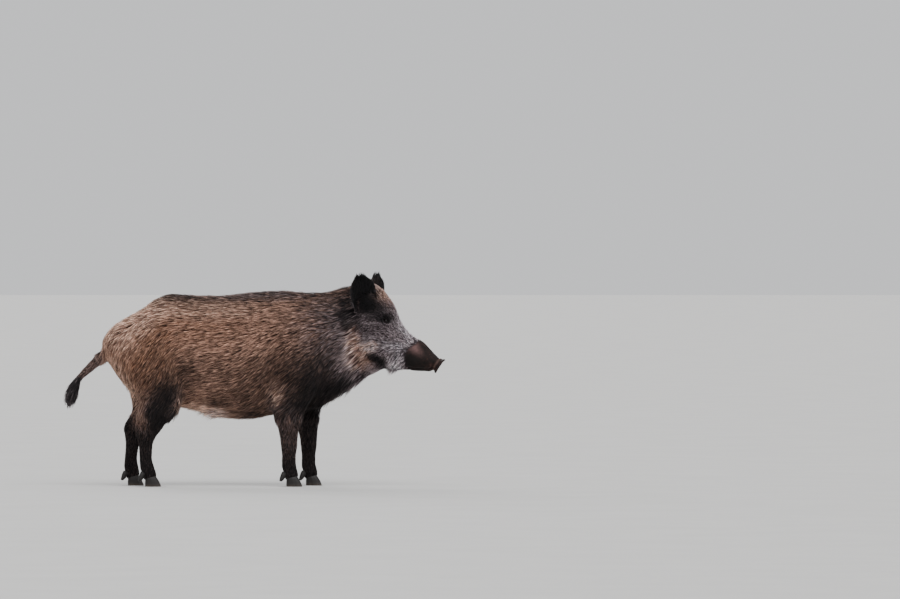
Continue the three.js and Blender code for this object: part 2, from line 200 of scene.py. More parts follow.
# ---- surfaces and meshes
@dataclass
class Surface:
    """A surface held as arrays, with the edges needed to smooth values over it."""

    points: Array
    triangles: Array
    edges: Array
    normals: Array

    @classmethod
    def of(cls, mesh: Mesh) -> "Surface":
        """Reads a mesh.

        Args:
            mesh: the mesh to read.

        Returns:
            Its points, triangles, edges and vertex normals.
        """
        mesh.calc_loop_triangles()
        found = []
        for rows, name, width, kind in (
            (mesh.vertices, "co", 3, np.float32),
            (mesh.loop_triangles, "vertices", 3, np.int32),
            (mesh.edges, "vertices", 2, np.int32),
            (mesh.vertex_normals, "vector", 3, np.float32),
        ):
            values = np.empty(len(rows) * width, kind)
            rows.foreach_get(name, values)
            found.append(values.reshape(-1, width))
        return cls(found[0].astype(float), found[1], found[2], found[3].astype(float))

    def tree(self) -> BVHTree:
        """The triangles as a tree for finding the nearest one."""
        return BVHTree.FromPolygons(self.points.tolist(), self.triangles.tolist())

    def spread(self, values: Array, rounds: int, strength: float = 0.5) -> Array:
        """Smooths values over the surface.

        Args:
            values: one value or vector per point.
            rounds: how many times each point moves towards its neighbours' mean.
            strength: how far it moves each time.

        Returns:
            The smoothed values.
        """
        count = len(self.points)
        a, b = self.edges[:, 0], self.edges[:, 1]
        degree = np.bincount(a, minlength=count) + np.bincount(b, minlength=count)
        degree = np.maximum(degree, 1).astype(float)
        columns = values.reshape(count, -1).astype(float).copy()
        for _ in range(rounds):
            for k in range(columns.shape[1]):
                column = columns[:, k]
                total = np.bincount(a, weights=column[b], minlength=count)
                total += np.bincount(b, weights=column[a], minlength=count)
                columns[:, k] = column + strength * (total / degree - column)
        return columns.reshape(values.shape)

    def smooth(self, rounds: int, share: Array | float, steps: tuple[float, ...]) -> None:
        """Smooths the points.

        Args:
            rounds: how many times all steps are taken.
            share: how much of the smoothing each point takes.
            steps: SETTLE flattens the form, and RELAX takes out ripples but keeps it.
        """
        for strength in steps * rounds:
            moved = self.spread(self.points, 1, strength)
            self.points += (moved - self.points) * np.reshape(share, (-1, 1))


def quiet_mesh(name: str, points: Array, faces: Array) -> Mesh:
    """A mesh from arrays.

    Args:
        name: name of the mesh.
        points: places, one per row.
        faces: corner numbers, one face per row, all with as many corners.

    Returns:
        The new mesh, smooth shaded.
    """
    mesh = bpy.data.meshes.new(name)
    count, corners = faces.shape
    mesh.vertices.add(len(points))
    mesh.vertices.foreach_set("co", points.astype(np.float32).ravel())
    mesh.loops.add(count * corners)
    mesh.loops.foreach_set("vertex_index", faces.astype(np.int32).ravel())
    mesh.polygons.add(count)
    mesh.polygons.foreach_set("loop_start", np.arange(count, dtype=np.int32) * corners)
    mesh.polygons.foreach_set("use_smooth", np.ones(count, bool))
    mesh.update(calc_edges=True)
    return mesh


def put_points(mesh: Mesh, points: Array) -> None:
    """Moves the points of a mesh."""
    mesh.vertices.foreach_set("co", points.astype(np.float32).ravel())
    mesh.update()


def put_attribute(mesh: Mesh, name: str, values: Array) -> None:
    """Stores one number per point under a name that the materials read."""
    layer = mesh.attributes.new(name, "FLOAT", "POINT")
    layer.data.foreach_set("value", values.astype(np.float32).ravel())


def shown(name: str, data: bpy.types.ID) -> Piece:
    """A new object in the scene.

    Args:
        name: the object's name.
        data: its mesh, lamp or camera.

    Returns:
        The object.
    """
    piece = bpy.data.objects.new(name, data)
    bpy.context.scene.collection.objects.link(piece)
    return piece


def modified(mesh: Mesh, kind: str, **settings: object) -> Mesh:
    """The result of one modifier on a mesh.

    Args:
        mesh: the mesh to start from, which is used up.
        kind: the modifier's type.
        **settings: the modifier's settings.

    Returns:
        A new mesh.
    """
    carrier = shown("carrier", mesh)
    modifier = carrier.modifiers.new("step", kind)
    for key, value in settings.items():
        setattr(modifier, key, value)
    graph = bpy.context.evaluated_depsgraph_get()
    result = bpy.data.meshes.new_from_object(carrier.evaluated_get(graph))
    bpy.data.objects.remove(carrier)
    bpy.data.meshes.remove(mesh)
    return result


def closed_mesh(name: str, rings: Array, placed: Callable[[Array], Array]) -> Mesh:
    """A tube closed with a fan at each end.

    Args:
        name: name of the mesh.
        rings: corners in the tube's own directions, ring after ring.
        placed: takes them to the part's frame.

    Returns:
        A closed mesh with its faces pointing out.
    """
    count, sides = rings.shape[:2]
    first, last = count * sides, count * sides + 1
    points = placed(np.concatenate([rings.reshape(-1, 3), rings[[0, -1]].mean(1)]))
    faces = []
    for ring in range(count - 1):
        for i in range(sides):
            a, b = ring * sides + i, ring * sides + (i + 1) % sides
            faces.append([a, b, b + sides, a + sides])
    for i in range(sides):
        j = (i + 1) % sides
        faces.append([first, j, i])
        faces.append([last, (count - 1) * sides + i, (count - 1) * sides + j])
    mesh = bpy.data.meshes.new(name)
    mesh.from_pydata(points.tolist(), [], faces)
    shell = bmesh.new()
    shell.from_mesh(mesh)
    bmesh.ops.recalc_face_normals(shell, faces=shell.faces)
    if shell.calc_volume(signed=True) < 0.0:
        bmesh.ops.reverse_faces(shell, faces=shell.faces)
    shell.to_mesh(mesh)
    shell.free()
    return mesh


# ---- parts of the body
class Part(Enum):
    """The parts of flesh, each with its word in the nodes' names."""

    TRUNK = "trunk"
    NECK = "neck"
    HEAD = "head"
    JAW = "jaw"
    DISC = "snout_disc"
    EAR = "ear"
    TAIL = "tail"
    SHOULDER = "shoulder"
    THIGH = "thigh"
    FOREARM = "forearm"
    SHANK = "shank"
    FOOT = "foot"
    TUFT = "tail_tuft"

    @property
    def number(self) -> int:
        """Its place in the order of the parts."""
        return list(Part).index(self)

    @classmethod
    def of_node(cls, node: str) -> "Part | None":
        """The part that a node belongs to, or None for an eye or a hoof."""
        name = "_ear" if node.startswith("ear_") else "_" + node
        return next((part for part in cls if name.endswith("_" + part.value)), None)


@dataclass(frozen=True)
class Growth:
    """How the coat grows on a part.

    depth is the thickness of the lying coat, length and width those of a tuft, number the
    tufts on a square metre, and curl how much they wave sideways.
    """

    depth: float
    length: float
    width: float
    number: float
    curl: float


GROWTHS: dict[Part, Growth] = {
    Part.TRUNK: Growth(0.017, 0.057, 0.0024, 58000, 0.07),
    Part.NECK: Growth(0.017, 0.052, 0.0024, 58000, 0.07),
    Part.HEAD: Growth(0.0055, 0.015, 0.0015, 135000, 0.07),
    Part.JAW: Growth(0.0055, 0.018, 0.0016, 120000, 0.09),
    Part.DISC: Growth(0.0005, 0.004, 0.0010, 0, 0.0),
    Part.EAR: Growth(0.0030, 0.017, 0.0016, 130000, 0.10),
    Part.TAIL: Growth(0.0040, 0.017, 0.0017, 110000, 0.08),
    Part.TUFT: Growth(0.0115, 0.070, 0.0023, 200000, 0.10),
    Part.SHOULDER: Growth(0.014, 0.046, 0.0024, 58000, 0.07),
    Part.THIGH: Growth(0.014, 0.046, 0.0024, 58000, 0.07),
    Part.FOREARM: Growth(0.0065, 0.025, 0.0021, 85000, 0.09),
    Part.SHANK: Growth(0.0065, 0.025, 0.0021, 85000, 0.09),
    Part.FOOT: Growth(0.0024, 0.014, 0.0016, 115000, 0.06),
}


@dataclass
class FleshNodes:
    """The solids of flesh, each with its part, points and triangles."""

    foot_end: float = 0.0065
    foot_end_size: float = 0.90
    foot_in_hoof: float = 0.014
    tail_gain: float = 0.0026
    dewclaw_root: float = 0.033
    dewclaw_root_size: float = 1.3
    names: list[str] = field(default_factory=list)
    solids: list[tuple[Part, Array, Array]] = field(default_factory=list)

    def gather(self) -> None:
        """Reads every node of flesh from the frame."""
        for name, node in sorted(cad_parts.items()):
            part = Part.of_node(name)
            if part is not None:
                surface = Surface.of(node.data)
                self.names.append(name)
                self.solids.append((part, surface.points, surface.triangles))

    def swollen(self, by: float, leave_out: Part) -> tuple[Array, Array]:
        """All solids but those of one part, swollen so that neighbours overlap.

        Args:
            by: distance that the faces move outwards.
            leave_out: the part that is made in another way.

        Returns:
            Points and triangles.
        """
        shells = []
        for part, points, triangles in self.solids:
            if part is leave_out:
                continue
            if part is Part.DISC:
                points = SnoutDisc().core(points)
            if part is Part.FOOT:
                points = self.into_hooves(points)
            normal = np.zeros_like(points)
            for corner in triangles.T:
                np.add.at(normal, corner, crossed(points, triangles))
            gain = self.tail_gain if part is Part.TAIL else 0.0
            shells.append((points + unit(normal) * (by + gain), triangles))
        return merged(shells + self.dewclaw_roots())

    def into_hooves(self, points: Array) -> Array:
        """Draws the lower end of a foot down into its hooves.

        Args:
            points: the foot's points.

        Returns:
            The moved points.
        """
        low = points[:, 2] < points[:, 2].min() + self.foot_end
        sunk = points.copy()
        middle = points[low].mean(0)
        sunk[low] = middle + (points[low] - middle) * self.foot_end_size
        sunk[low, 2] -= self.foot_in_hoof
        return sunk

    def dewclaw_roots(self) -> list[tuple[Array, Array]]:
        """Lumps of flesh above the dewclaws, from which they grow.

        Returns:
            Points and triangles of each lump.
        """
        lumps = []
        for name, node in sorted(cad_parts.items()):
            if "_dewclaw_" in name:
                claw = Surface.of(node.data)
                middle = claw.points.mean(0)
                axis = np.linalg.svd(claw.points - middle, full_matrices=False)[2][0]
                axis = axis if axis[2] > 0 else -axis
                grown = middle + (claw.points - middle) * self.dewclaw_root_size
                lumps.append((grown + axis * self.dewclaw_root, claw.triangles))
        return lumps

    def nearest(self, places: Array) -> Array:
        """Finds the part that each place lies nearest to.

        Args:
            places: places in the part's frame.

        Returns:
            The part's number.
        """
        points, triangles = merged([(points, triangles) for _, points, triangles in self.solids])
        owner = np.repeat([s[0].number for s in self.solids], [len(s[2]) for s in self.solids])
        tree = BVHTree.FromPolygons(points.tolist(), triangles.tolist())
        return owner[[tree.find_nearest(place)[2] for place in places.tolist()]]


# ---- markings of the coat, with some painted light and shade
@dataclass(frozen=True)
class Patch:
    """A soft patch of a marking, the same on both sides.

    centre and reach are given along the body and up. soft is the width of its edge, as a
    share of the reach, and facing, if set, limits the patch to skin that faces up.
    """

    centre: Pair
    reach: Pair
    strength: float
    slant: float = 0.0
    soft: float = 0.9
    facing: int = 0

    def weight(self, straight: Array, normals: Array) -> Array:
        """How strongly each point carries the patch.

        Args:
            straight: straightened places.
            normals: directions that the skin faces there.

        Returns:
            Weights from 0 to the patch's strength.
        """
        x, z = straight[:, 0] - self.centre[0], straight[:, 2] - self.centre[1]
        along, across = slanted(x, z, self.slant)
        away = np.hypot(along / self.reach[0], across / self.reach[1])
        fade = 1.0 - ease(away, 1.0 - 0.9 * self.soft, 1.0 + 0.75 * self.soft)
        if self.facing:
            fade = fade * ease(normals[:, 2] * self.facing, 0.50, 0.86)
        return fade * self.strength


class Shade(Enum):
    """The hair colours beside the brown of the flanks, in the order of their mixing."""

    GREY = "grey"
    RUST = "rust"
    PALE = "pale"
    SILVER = "silver"
    DARK = "dark"


PATCHES: dict[Shade, tuple[Patch, ...]] = {
    # pale-tipped bristles along the crest, partly real grizzle and partly a painted rim of light on the
    # top edge
    Shade.GREY: (Patch((-0.05, 0.77), (0.38, 0.035), 0.55, soft=0.6),),
    Shade.RUST: (
        Patch((-0.43, 0.52), (0.12, 0.13), 0.5),
        Patch((-0.25, 0.64), (0.2, 0.08), 0.3),
        Patch((0.01, 0.27), (0.12, 0.03), 0.15),
        Patch((0.455, 0.512), (0.03, 0.02), 0.55),  # below the cheek
    ),
    Shade.PALE: (
        Patch((0.478, 0.558), (0.034, 0.022), 1.0, 0.35, 0.5),  # cheek
        Patch((0.426, 0.548), (0.028, 0.066), 0.88, 0.15),
        Patch((0.442, 0.5), (0.042, 0.03), 0.4),
        Patch((0.4, 0.6), (0.024, 0.05), 0.48),
        # pale hair on the top of the rump, partly a painted highlight where the light falls on the top
        Patch((-0.44, 0.68), (0.12, 0.052), 0.95, 0.55),  # top of the rump
        Patch((-0.53, 0.6), (0.05, 0.07), 0.6, 0.9),
        Patch((-0.508, 0.405), (0.115, 0.024), 0.88, -1.15),  # rear edge of the haunch
        # pale along the upper flank, partly a painted highlight on the top of the body
        Patch((-0.2, 0.7), (0.2, 0.036), 0.45),
        Patch((-0.21, 0.318), (0.06, 0.028), 0.85),  # flank fold
        Patch((-0.296, 0.32), (0.022, 0.042), 0.95, 0.35),
        Patch((-0.15, 0.3), (0.048, 0.022), 1.0, soft=0.7),  # sheath
        Patch((0.098, 0.372), (0.02, 0.052), 0.88),  # elbow tuft
        # partly pale hair tips, partly a painted rim of light along the top of the nape
        Patch((0.42, 0.815), (0.08, 0.016), 0.5),  # rim of the nape
        Patch((0.512, 0.774), (0.03, 0.03), 0.4),  # forehead
        Patch((-0.64, 0.51), (0.075, 0.03), 0.12, 0.75),  # tail
    ),
    Shade.SILVER: (
        Patch((0.486, 0.553), (0.022, 0.014), 0.74, 0.35, 0.7),  # cheek
        Patch((0.424, 0.53), (0.03, 0.07), 0.14, 0.15),
        Patch((0.625, 0.606), (0.06, 0.026), 0.67, -0.8),  # bridge of the muzzle
        Patch((0.59, 0.556), (0.045, 0.02), 0.68, -0.2),
        Patch((0.582, 0.512), (0.034, 0.032), 0.62),
        Patch((0.54, 0.565), (0.026, 0.024), 0.4),
        Patch((0.586, 0.668), (0.03, 0.014), 0.4, -0.95),  # before the eye
        Patch((0.57, 0.476), (0.028, 0.02), 0.92),  # chin
        Patch((-0.15, 0.3), (0.048, 0.022), 0.34, soft=0.7),  # sheath
        Patch((0.48, 0.78), (0.03, 0.02), 0.4, -0.6),
        Patch((0.47, 0.575), (0.04, 0.03), 0.36),
    ),
    Shade.DARK: (
        Patch((-0.05, 0.76), (0.41, 0.12), 0.66, soft=0.35, facing=1),  # crest along the back
        Patch((-0.335, 0.751), (0.09, 0.022), 0.86, 0.1, 0.7),  # crest of the rump
        # belly and between the forelegs: dark hair, partly painted shade on the underside
        Patch((0.01, 0.296), (0.09, 0.03), 0.72),  # belly
        Patch((0.24, 0.33), (0.08, 0.036), 0.92),  # between the forelegs
        Patch((0.3, 0.71), (0.12, 0.08), 0.46),
        Patch((0.375, 0.702), (0.032, 0.09), 0.98, 0.12, 0.7),  # behind the ear
        Patch((0.464, 0.738), (0.048, 0.06), 1.0, 0.0, 0.5),  # foot of the ear
        Patch((0.395, 0.64), (0.036, 0.05), 0.5),
        Patch((0.305, 0.575), (0.085, 0.11), 0.54),  # neck
        Patch((0.265, 0.48), (0.08, 0.08), 0.58),
        Patch((0.16, 0.48), (0.095, 0.085), 0.62),  # shoulder
        Patch((0.06, 0.46), (0.09, 0.08), 0.42),
        Patch((0.155, 0.6), (0.09, 0.06), 0.26),
        # low ribs: darker hair, partly painted shade towards the underside
        Patch((0.01, 0.35), (0.13, 0.06), 0.52),  # low ribs
        Patch((-0.09, 0.44), (0.16, 0.08), 0.34),
        Patch((-0.28, 0.455), (0.065, 0.075), 0.56),  # flank before the thigh
        Patch((-0.385, 0.565), (0.08, 0.06), 0.24),
        Patch((-0.395, 0.45), (0.09, 0.08), 0.44),  # haunch
        Patch((-0.35, 0.37), (0.062, 0.072), 0.94, 0.25),  # front of the thigh
        Patch((-0.385, 0.29), (0.05, 0.06), 0.8),
        Patch((0.255, 0.4), (0.105, 0.09), 0.94, 0.35),  # chest and point of the shoulder
        Patch((0.175, 0.37), (0.07, 0.09), 0.62),
        Patch((0.35, 0.425), (0.06, 0.022), 0.8, 0.5),  # throat
        Patch((0.325, 0.405), (0.08, 0.034), 0.82, 0.55),
        Patch((0.43, 0.455), (0.035, 0.018), 0.45, 0.3),
        Patch((0.498, 0.511), (0.05, 0.02), 1.0, -0.45, 0.5),  # corner of the mouth
        Patch((0.52, 0.478), (0.024, 0.012), 0.8, -0.15, 0.7),  # under the lip
        Patch((0.541, 0.666), (0.031, 0.019), 1.0, 0.0, 0.7),  # round the eye
        Patch((0.508, 0.676), (0.04, 0.018), 0.85, 0.1),
        Patch((0.53, 0.706), (0.044, 0.024), 0.66, -0.6),  # brow
        Patch((0.5, 0.705), (0.036, 0.026), 0.7),
        Patch((0.485, 0.735), (0.04, 0.036), 0.66),
        Patch((0.5, 0.612), (0.07, 0.046), 0.4),
        Patch((0.462, 0.626), (0.034, 0.024), 0.32),
        Patch((0.548, 0.634), (0.046, 0.02), 0.34),  # under the eye
        Patch((0.58, 0.585), (0.034, 0.024), 0.22),
        Patch((0.43, 0.66), (0.024, 0.04), 0.55),  # below the ear
        Patch((-0.146, 0.342), (0.028, 0.016), 0.9, soft=0.6),
    ),
}
SNOUT_TONES: dict[str, Patch] = {
    # top of the snout: ruddy leather, partly its real colour and partly a painted sheen
    "ruddy": Patch((0.647, 0.558), (0.044, 0.018), 0.72, -0.85),
    # painted shade: the lower snout darkened where shade falls under it
    "dusk": Patch((0.632, 0.499), (0.054, 0.03), 1.0, 0.15),
    "collar": Patch((0.736, 0.4885), (0.042, 0.005), 0.65, 0.983, 0.8),
}


@dataclass(frozen=True)
class Markings:
    """Works out every shade of the coat at any place on the body."""

    bare_edge: tuple[Pair, ...] = (
        (0.440, 0.628), (0.468, 0.620), (0.488, 0.612), (0.512, 0.610), (0.536, 0.616),
        (0.552, 0.628), (0.564, 0.646), (0.582, 0.664), (0.640, 0.700),
    )  # fmt: skip

    def bare(self, straight: Array, parts: Array) -> Array:
        """Finds where the muzzle is bare.

        Args:
            straight: straightened places.
            parts: number of the part at each place.

        Returns:
            1 on bare skin and 0 in the hair.
        """
        edge = np.interp(straight[:, 2], *zip(*self.bare_edge))
        bare = ease(straight[:, 0], edge - 0.008, edge + 0.012)
        bare[parts == Part.DISC.number] = 1.0
        return bare

    def shades(self, straight: Array, normals: Array, parts: Array) -> dict[Shade, Array]:
        """Works out the weights of all shades.

        Args:
            straight: straightened places.
            normals: directions that the skin faces there.
            parts: number of the part at each place.

        Returns:
            For each shade a weight from 0 to 1 per place.
        """
        kind = {part: (parts == part.number).astype(float) for part in Part}
        x, z = straight[:, 0], straight[:, 2]
        found: dict[Shade, Array] = {}
        for shade, patches in PATCHES.items():
            clear = np.ones(len(straight))
            for patch in patches:
                clear *= 1.0 - patch.weight(straight, normals)
            found[shade] = 1.0 - clear
        legs = kind[Part.FOREARM] + kind[Part.SHANK] + kind[Part.FOOT]
        limbs = legs + kind[Part.SHOULDER] + kind[Part.THIGH]
        # the limbs darken towards the floor: partly their real dark hair, partly painted shade on the
        # lower body
        rear = within(-x, 0.435, 0.475, 0.025) * ease(z, 0.20, 0.26)
        fore = within(x, 0.0, 0.160, 0.040) * ease(z, 0.08, 0.20)
        low = (1.0 - ease(z, 0.27, 0.44)) * (0.94 - 0.46 * rear - 0.24 * fore)
        dark = 1.0 - (1.0 - found[Shade.DARK]) * (1.0 - limbs * low)
        dark = dark * (1.0 - 0.55 * found[Shade.PALE])
        # painted light: the backs of the ears, which face the tail, are left a little less dark, as if
        # lit by the sky
        ear = kind[Part.EAR] * (1.0 - 0.12 * ease(-normals[:, 0], 0.0, 0.5))
        tail = 0.88 * kind[Part.TUFT] + 0.50 * kind[Part.TAIL]
        found[Shade.DARK] = np.maximum(dark, np.maximum(ear, tail))
        found[Shade.PALE] = found[Shade.PALE] * (1.0 - 0.9 * legs)
        face = ease(x, 0.10, 0.45) * (1.0 - 0.85 * ease(z, 0.68, 0.78))
        shin = 0.5 * limbs * (1.0 - ease(z, 0.30, 0.45)) * (1.0 - 0.7 * rear)
        grey = np.maximum(np.maximum(found[Shade.GREY], face), shin + 0.40 * kind[Part.TAIL])
        found[Shade.GREY] = np.maximum(grey, kind[Part.EAR] + kind[Part.TUFT])
        return found


# ---- the lie of the coat
@dataclass(frozen=True)
class Lie:
    """Which way the hair points on the straightened animal."""

    nose: Pair = (0.760, 0.470)

    def direction(self, straight: Array, normals: Array, parts: Array, ears: Array) -> Array:
        """Works out the hair's direction before it is laid flat on the skin.

        Args:
            straight: straightened places.
            normals: directions that the straightened skin faces.
            parts: number of the part at each place.
            ears: direction of the hair on the nearest ear at each place.

        Returns:
            One direction per place.
        """
        x, z = straight[:, 0], straight[:, 2]
        flow = np.tile(np.array([-1.0, 0.0, -0.20]), (len(x), 1))
        away = np.stack([x - self.nose[0], np.zeros_like(x), z - self.nose[1] - 0.02], 1)
        haunch = within(x, -0.70, -0.36, 0.10) * (1.0 - ease(z, 0.50, 0.70))
        buttock = ease(-normals[:, 0], 0.35, 0.8) * (x < -0.3)
        shoulder = within(x, 0.03, 0.42, 0.16) * (1.0 - ease(z, 0.46, 0.76))
        chest = within(x, 0.20, 0.38, 0.08) * (1.0 - ease(z, 0.34, 0.52))
        belly = ease(-normals[:, 2], 0.6, 0.9) * (np.abs(x) < 0.3)
        neck = within(x, 0.34, 0.47, 0.06) * (1.0 - ease(z, 0.72, 0.80))
        lip = within(x, 0.520, 0.640, 0.030) * (1.0 - ease(z, 0.515, 0.560))
        for way, share in (
            ((-0.80, 0.0, -0.85), haunch),
            ((-0.30, 0.0, -1.0), buttock),
            ((-0.80, 0.0, -0.66), shoulder),
            ((-0.60, 0.0, -0.85), chest),
            ((-1.0, 0.0, -0.02), belly),
            ((-0.90, 0.0, -0.48), neck),
            (unit(away) + np.array([0.0, 0.0, -0.16]), ease(x, 0.46, 0.53)),
            ((-0.50, 0.0, -0.90), 0.85 * lip),
        ):
            flow = flow * (1.0 - share[:, None]) + np.array(way) * share[:, None]
        for part, way in (
            (Part.FOREARM, (-0.14, 0.0, -1.0)),
            (Part.SHANK, (-0.20, 0.0, -1.0)),
            (Part.FOOT, (0.02, 0.0, -1.0)),
            (Part.TAIL, (-0.68, 0.0, -0.73)),
            (Part.TUFT, (-0.38, 0.0, -0.92)),
            (Part.THIGH, (-0.60, 0.0, -0.95)),
        ):
            flow[parts == part.number] = way
        on_ear = parts == Part.EAR.number
        flow[on_ear] = ears[on_ear]
        return flow


# ---- ears and snout disc
@dataclass(frozen=True)
class Ear:
    """A cupped ear, as a thin closed shell whose foot stands inside the head.

    face, back and outward turn it in degrees. form says how broad the foot is, how the
    breadth rises and falls again, and how blunt the tip is.
    """

    side: int
    root: Spot
    face: float
    back: float
    outward: float = 10.0
    length: float = 0.150
    width: float = 0.051
    form: tuple[float, float, float, float] = (0.70, 0.95, 0.75, 6.5)
    depth: float = 0.024
    shell: float = 0.0045
    bed: float = 0.0045
    hair: float = 0.0035
    splay: float = 0.90
    crease: float = 0.0022

    def turned(self, points: Array) -> Array:
        """Turns points of the upright ear into its pose.

        Args:
            points: places round the ear's foot.

        Returns:
            The same places on the straightened head, still round the foot.
        """
        a = self.side * math.radians(self.face)
        b = -self.side * math.radians(self.outward)
        c = -math.radians(self.back)
        spin = np.array([[math.cos(a), -math.sin(a), 0], [math.sin(a), math.cos(a), 0], [0, 0, 1]])
        tilt = np.array([[1, 0, 0], [0, math.cos(b), -math.sin(b)], [0, math.sin(b), math.cos(b)]])
        lean = np.array([[math.cos(c), 0, math.sin(c)], [0, 1, 0], [-math.sin(c), 0, math.cos(c)]])
        return points @ (lean @ tilt @ spin).T

    def upright(self, straight: Array) -> Array:
        """Straightened places as seen by the upright ear, by its own sizes."""
        axes = self.turned(np.eye(3))
        return (straight - np.array(self.root)) @ axes.T / np.array([self.depth, self.width, self.length])

    def hair_way(self, straight: Array) -> Array:
        """The ear's hair points up along it and out over its rims.

        Args:
            straight: straightened places.

        Returns:
            One direction per place.
        """
        aside = np.clip(self.upright(straight)[:, 1], -1.2, 1.2)
        ways = np.stack([np.zeros_like(aside), self.splay * aside, np.ones_like(aside)], 1)
        return self.turned(ways)

    def rim(self, straight: Array) -> Array:
        """How near each place is to the ear's rim or tip.

        Args:
            straight: straightened places.

        Returns:
            Weights from 0 to 1.
        """
        seen = self.upright(straight)
        side = ease(np.abs(seen[:, 1]), 0.55, 0.95) * ease(seen[:, 2], 0.18, 0.42)
        return np.maximum(side, ease(seen[:, 2], 0.78, 0.97))

    def placed(self, points: Array) -> Array:
        """Points of the upright ear in the part's frame."""
        return TURN.place(self.turned(points) + np.array(self.root))

    def mesh(self, rows: int = 56, across: int = 26) -> Mesh:
        """Builds the shell.

        Args:
            rows: rings from foot to tip.
            across: steps over each of its two faces.

        Returns:
            A closed mesh in the part's frame.
        """
        t = np.linspace(-0.16, 0.985, rows + 1)[:, None]
        open_t = np.clip(t, 0.0, 1.0)
        foot, rise, fall, blunt = self.form
        breadth = self.width * (foot + rise * open_t - fall * open_t**2)
        breadth = breadth * np.sqrt(1.0 - 0.97 * open_t**blunt) - self.hair
        s = np.linspace(-1.0, 1.0, across + 1)[None, :]
        cup = self.depth * (1.2 - open_t) * (breadth / self.width)
        thick = self.shell * (1.0 - 0.45 * open_t)
        rim = 0.5 * thick * np.sqrt(np.clip(1.0 - s**2, 0.0, 1.0))
        middle = (cup + self.bed * (1.0 - 0.45 * open_t)) * (1.0 - s**2)
        fold = self.crease * np.sin(s * 9.0) * (1.0 - s**2) * ease(1.0 - open_t, 0.35, 0.95)
        y = s * breadth * np.ones_like(t)
        z = t * self.length * np.ones_like(s)
        outer = np.stack([0.5 * cup - (middle + rim + 0.15 * fold), y, z], 2)
        inner = np.stack([0.5 * cup - (middle - rim + 0.4 * fold), y, z], 2)
        return closed_mesh("ear", np.concatenate([outer[:, :-1], inner[:, :0:-1]], 1), self.placed)


@dataclass(frozen=True)
class SnoutDisc:
    """The bare disc at the tip of the snout, with its rim and two nostrils."""

    centre: Spot = (0.7480, 0.0, 0.4803)
    half_width: float = 0.0375
    half_height: float = 0.0330
    tilt: float = math.radians(33.7)
    yaw: float = math.radians(-8.0)
    thickness: float = 0.018
    saddle: float = 0.0030
    edge: tuple[Pair, ...] = (
        (-1.00, 0.84), (-0.78, 0.83), (-0.56, 0.85), (-0.42, 0.90),
        (-0.33, 0.965), (-0.24, 0.995), (-0.13, 1.005), (-0.04, 0.995),
    )  # fmt: skip
    rim_height: float = 0.0012
    dish: float = 0.0016
    ridge: float = 0.0008
    nostril: Pair = (0.0135, 0.001)
    nostril_reach: Pair = (0.0066, 0.0085)
    nostril_depth: float = 0.012
    nostril_lip: float = 0.0016
    core_size: float = 0.86
    core_depth: float = 0.0125

    def placed(self, points: Array) -> Array:
        """Takes points from the disc's directions (out, aside, up) to the part's frame.

        Args:
            points: places round the disc's middle.

        Returns:
            The places in the part's frame.
        """
        sine, cosine = math.sin(self.tilt), math.cos(self.tilt)
        x = self.centre[0] + points[:, 0] * cosine + points[:, 2] * sine
        z = self.centre[2] - points[:, 0] * sine + points[:, 2] * cosine
        return TURN.place(np.stack([x, points[:, 1], z], 1))

    def mesh(self, sides: int = 96, rows: int = 34) -> Mesh:
        """Builds the disc.

        Args:
            sides: corners round its edge.
            rows: rings from the edge to the middle of its face.

        Returns:
            A closed mesh in the part's frame.
        """
        turn = np.linspace(0.0, 2.0 * math.pi, sides, endpoint=False)
        squared = 1.0 + 0.05 * np.sin(2.0 * turn) ** 2
        layers = []
        face = [(None, 0.985 * (1.0 - k / rows)) for k in range(1, rows)]
        for depth, size in [*self.edge, *face]:
            y = self.half_width * size * squared * np.sin(turn)
            up = self.half_height * size * squared * np.cos(turn)
            out = self.relief(y, up, size) if depth is None else depth * self.thickness
            bent = (np.maximum(up, 0.0) / self.half_height) ** 2 - (y / self.half_width) ** 2
            layers.append(np.stack([out + self.saddle * bent + y * math.sin(self.yaw), y, up], 1))
        return closed_mesh("disc", np.array(layers), self.placed)

    def core(self, points: Array) -> Array:
        """Draws the disc's solid back into the snout, as the ground of the finer disc.

        Args:
            points: the solid's points.

        Returns:
            The moved points.
        """
        straight = TURN.straighten(points)
        middle = straight.mean(0)
        out = np.array([math.cos(self.tilt), 0.0, -math.sin(self.tilt)])
        return TURN.place(middle + (straight - middle) * self.core_size - out * self.core_depth)

    def relief(self, y: Array, up: Array, size: float) -> Array:
        """Height of the disc's face: raised rim, shallow middle, and the nostrils' pits.

        Args:
            y: places aside.
            up: places up.
            size: distance from the middle, as a share of the disc.

        Returns:
            Heights of the places.
        """
        face = self.rim_height * bell(size, 0.90, 0.07) - self.dish * (1.0 - size**2)
        across = np.abs(y) - self.nostril[0]
        along = (up - self.nostril[1] - 0.25 * across) / self.nostril_reach[1]
        away = np.hypot(across / self.nostril_reach[0], along)
        pit = self.nostril_depth * (1.0 - ease(away, 0.55, 1.0))
        lip = self.nostril_lip * bell(away, 1.22, 0.22)
        return face + self.ridge * bell(y, 0.0, 0.004) + lip - pit


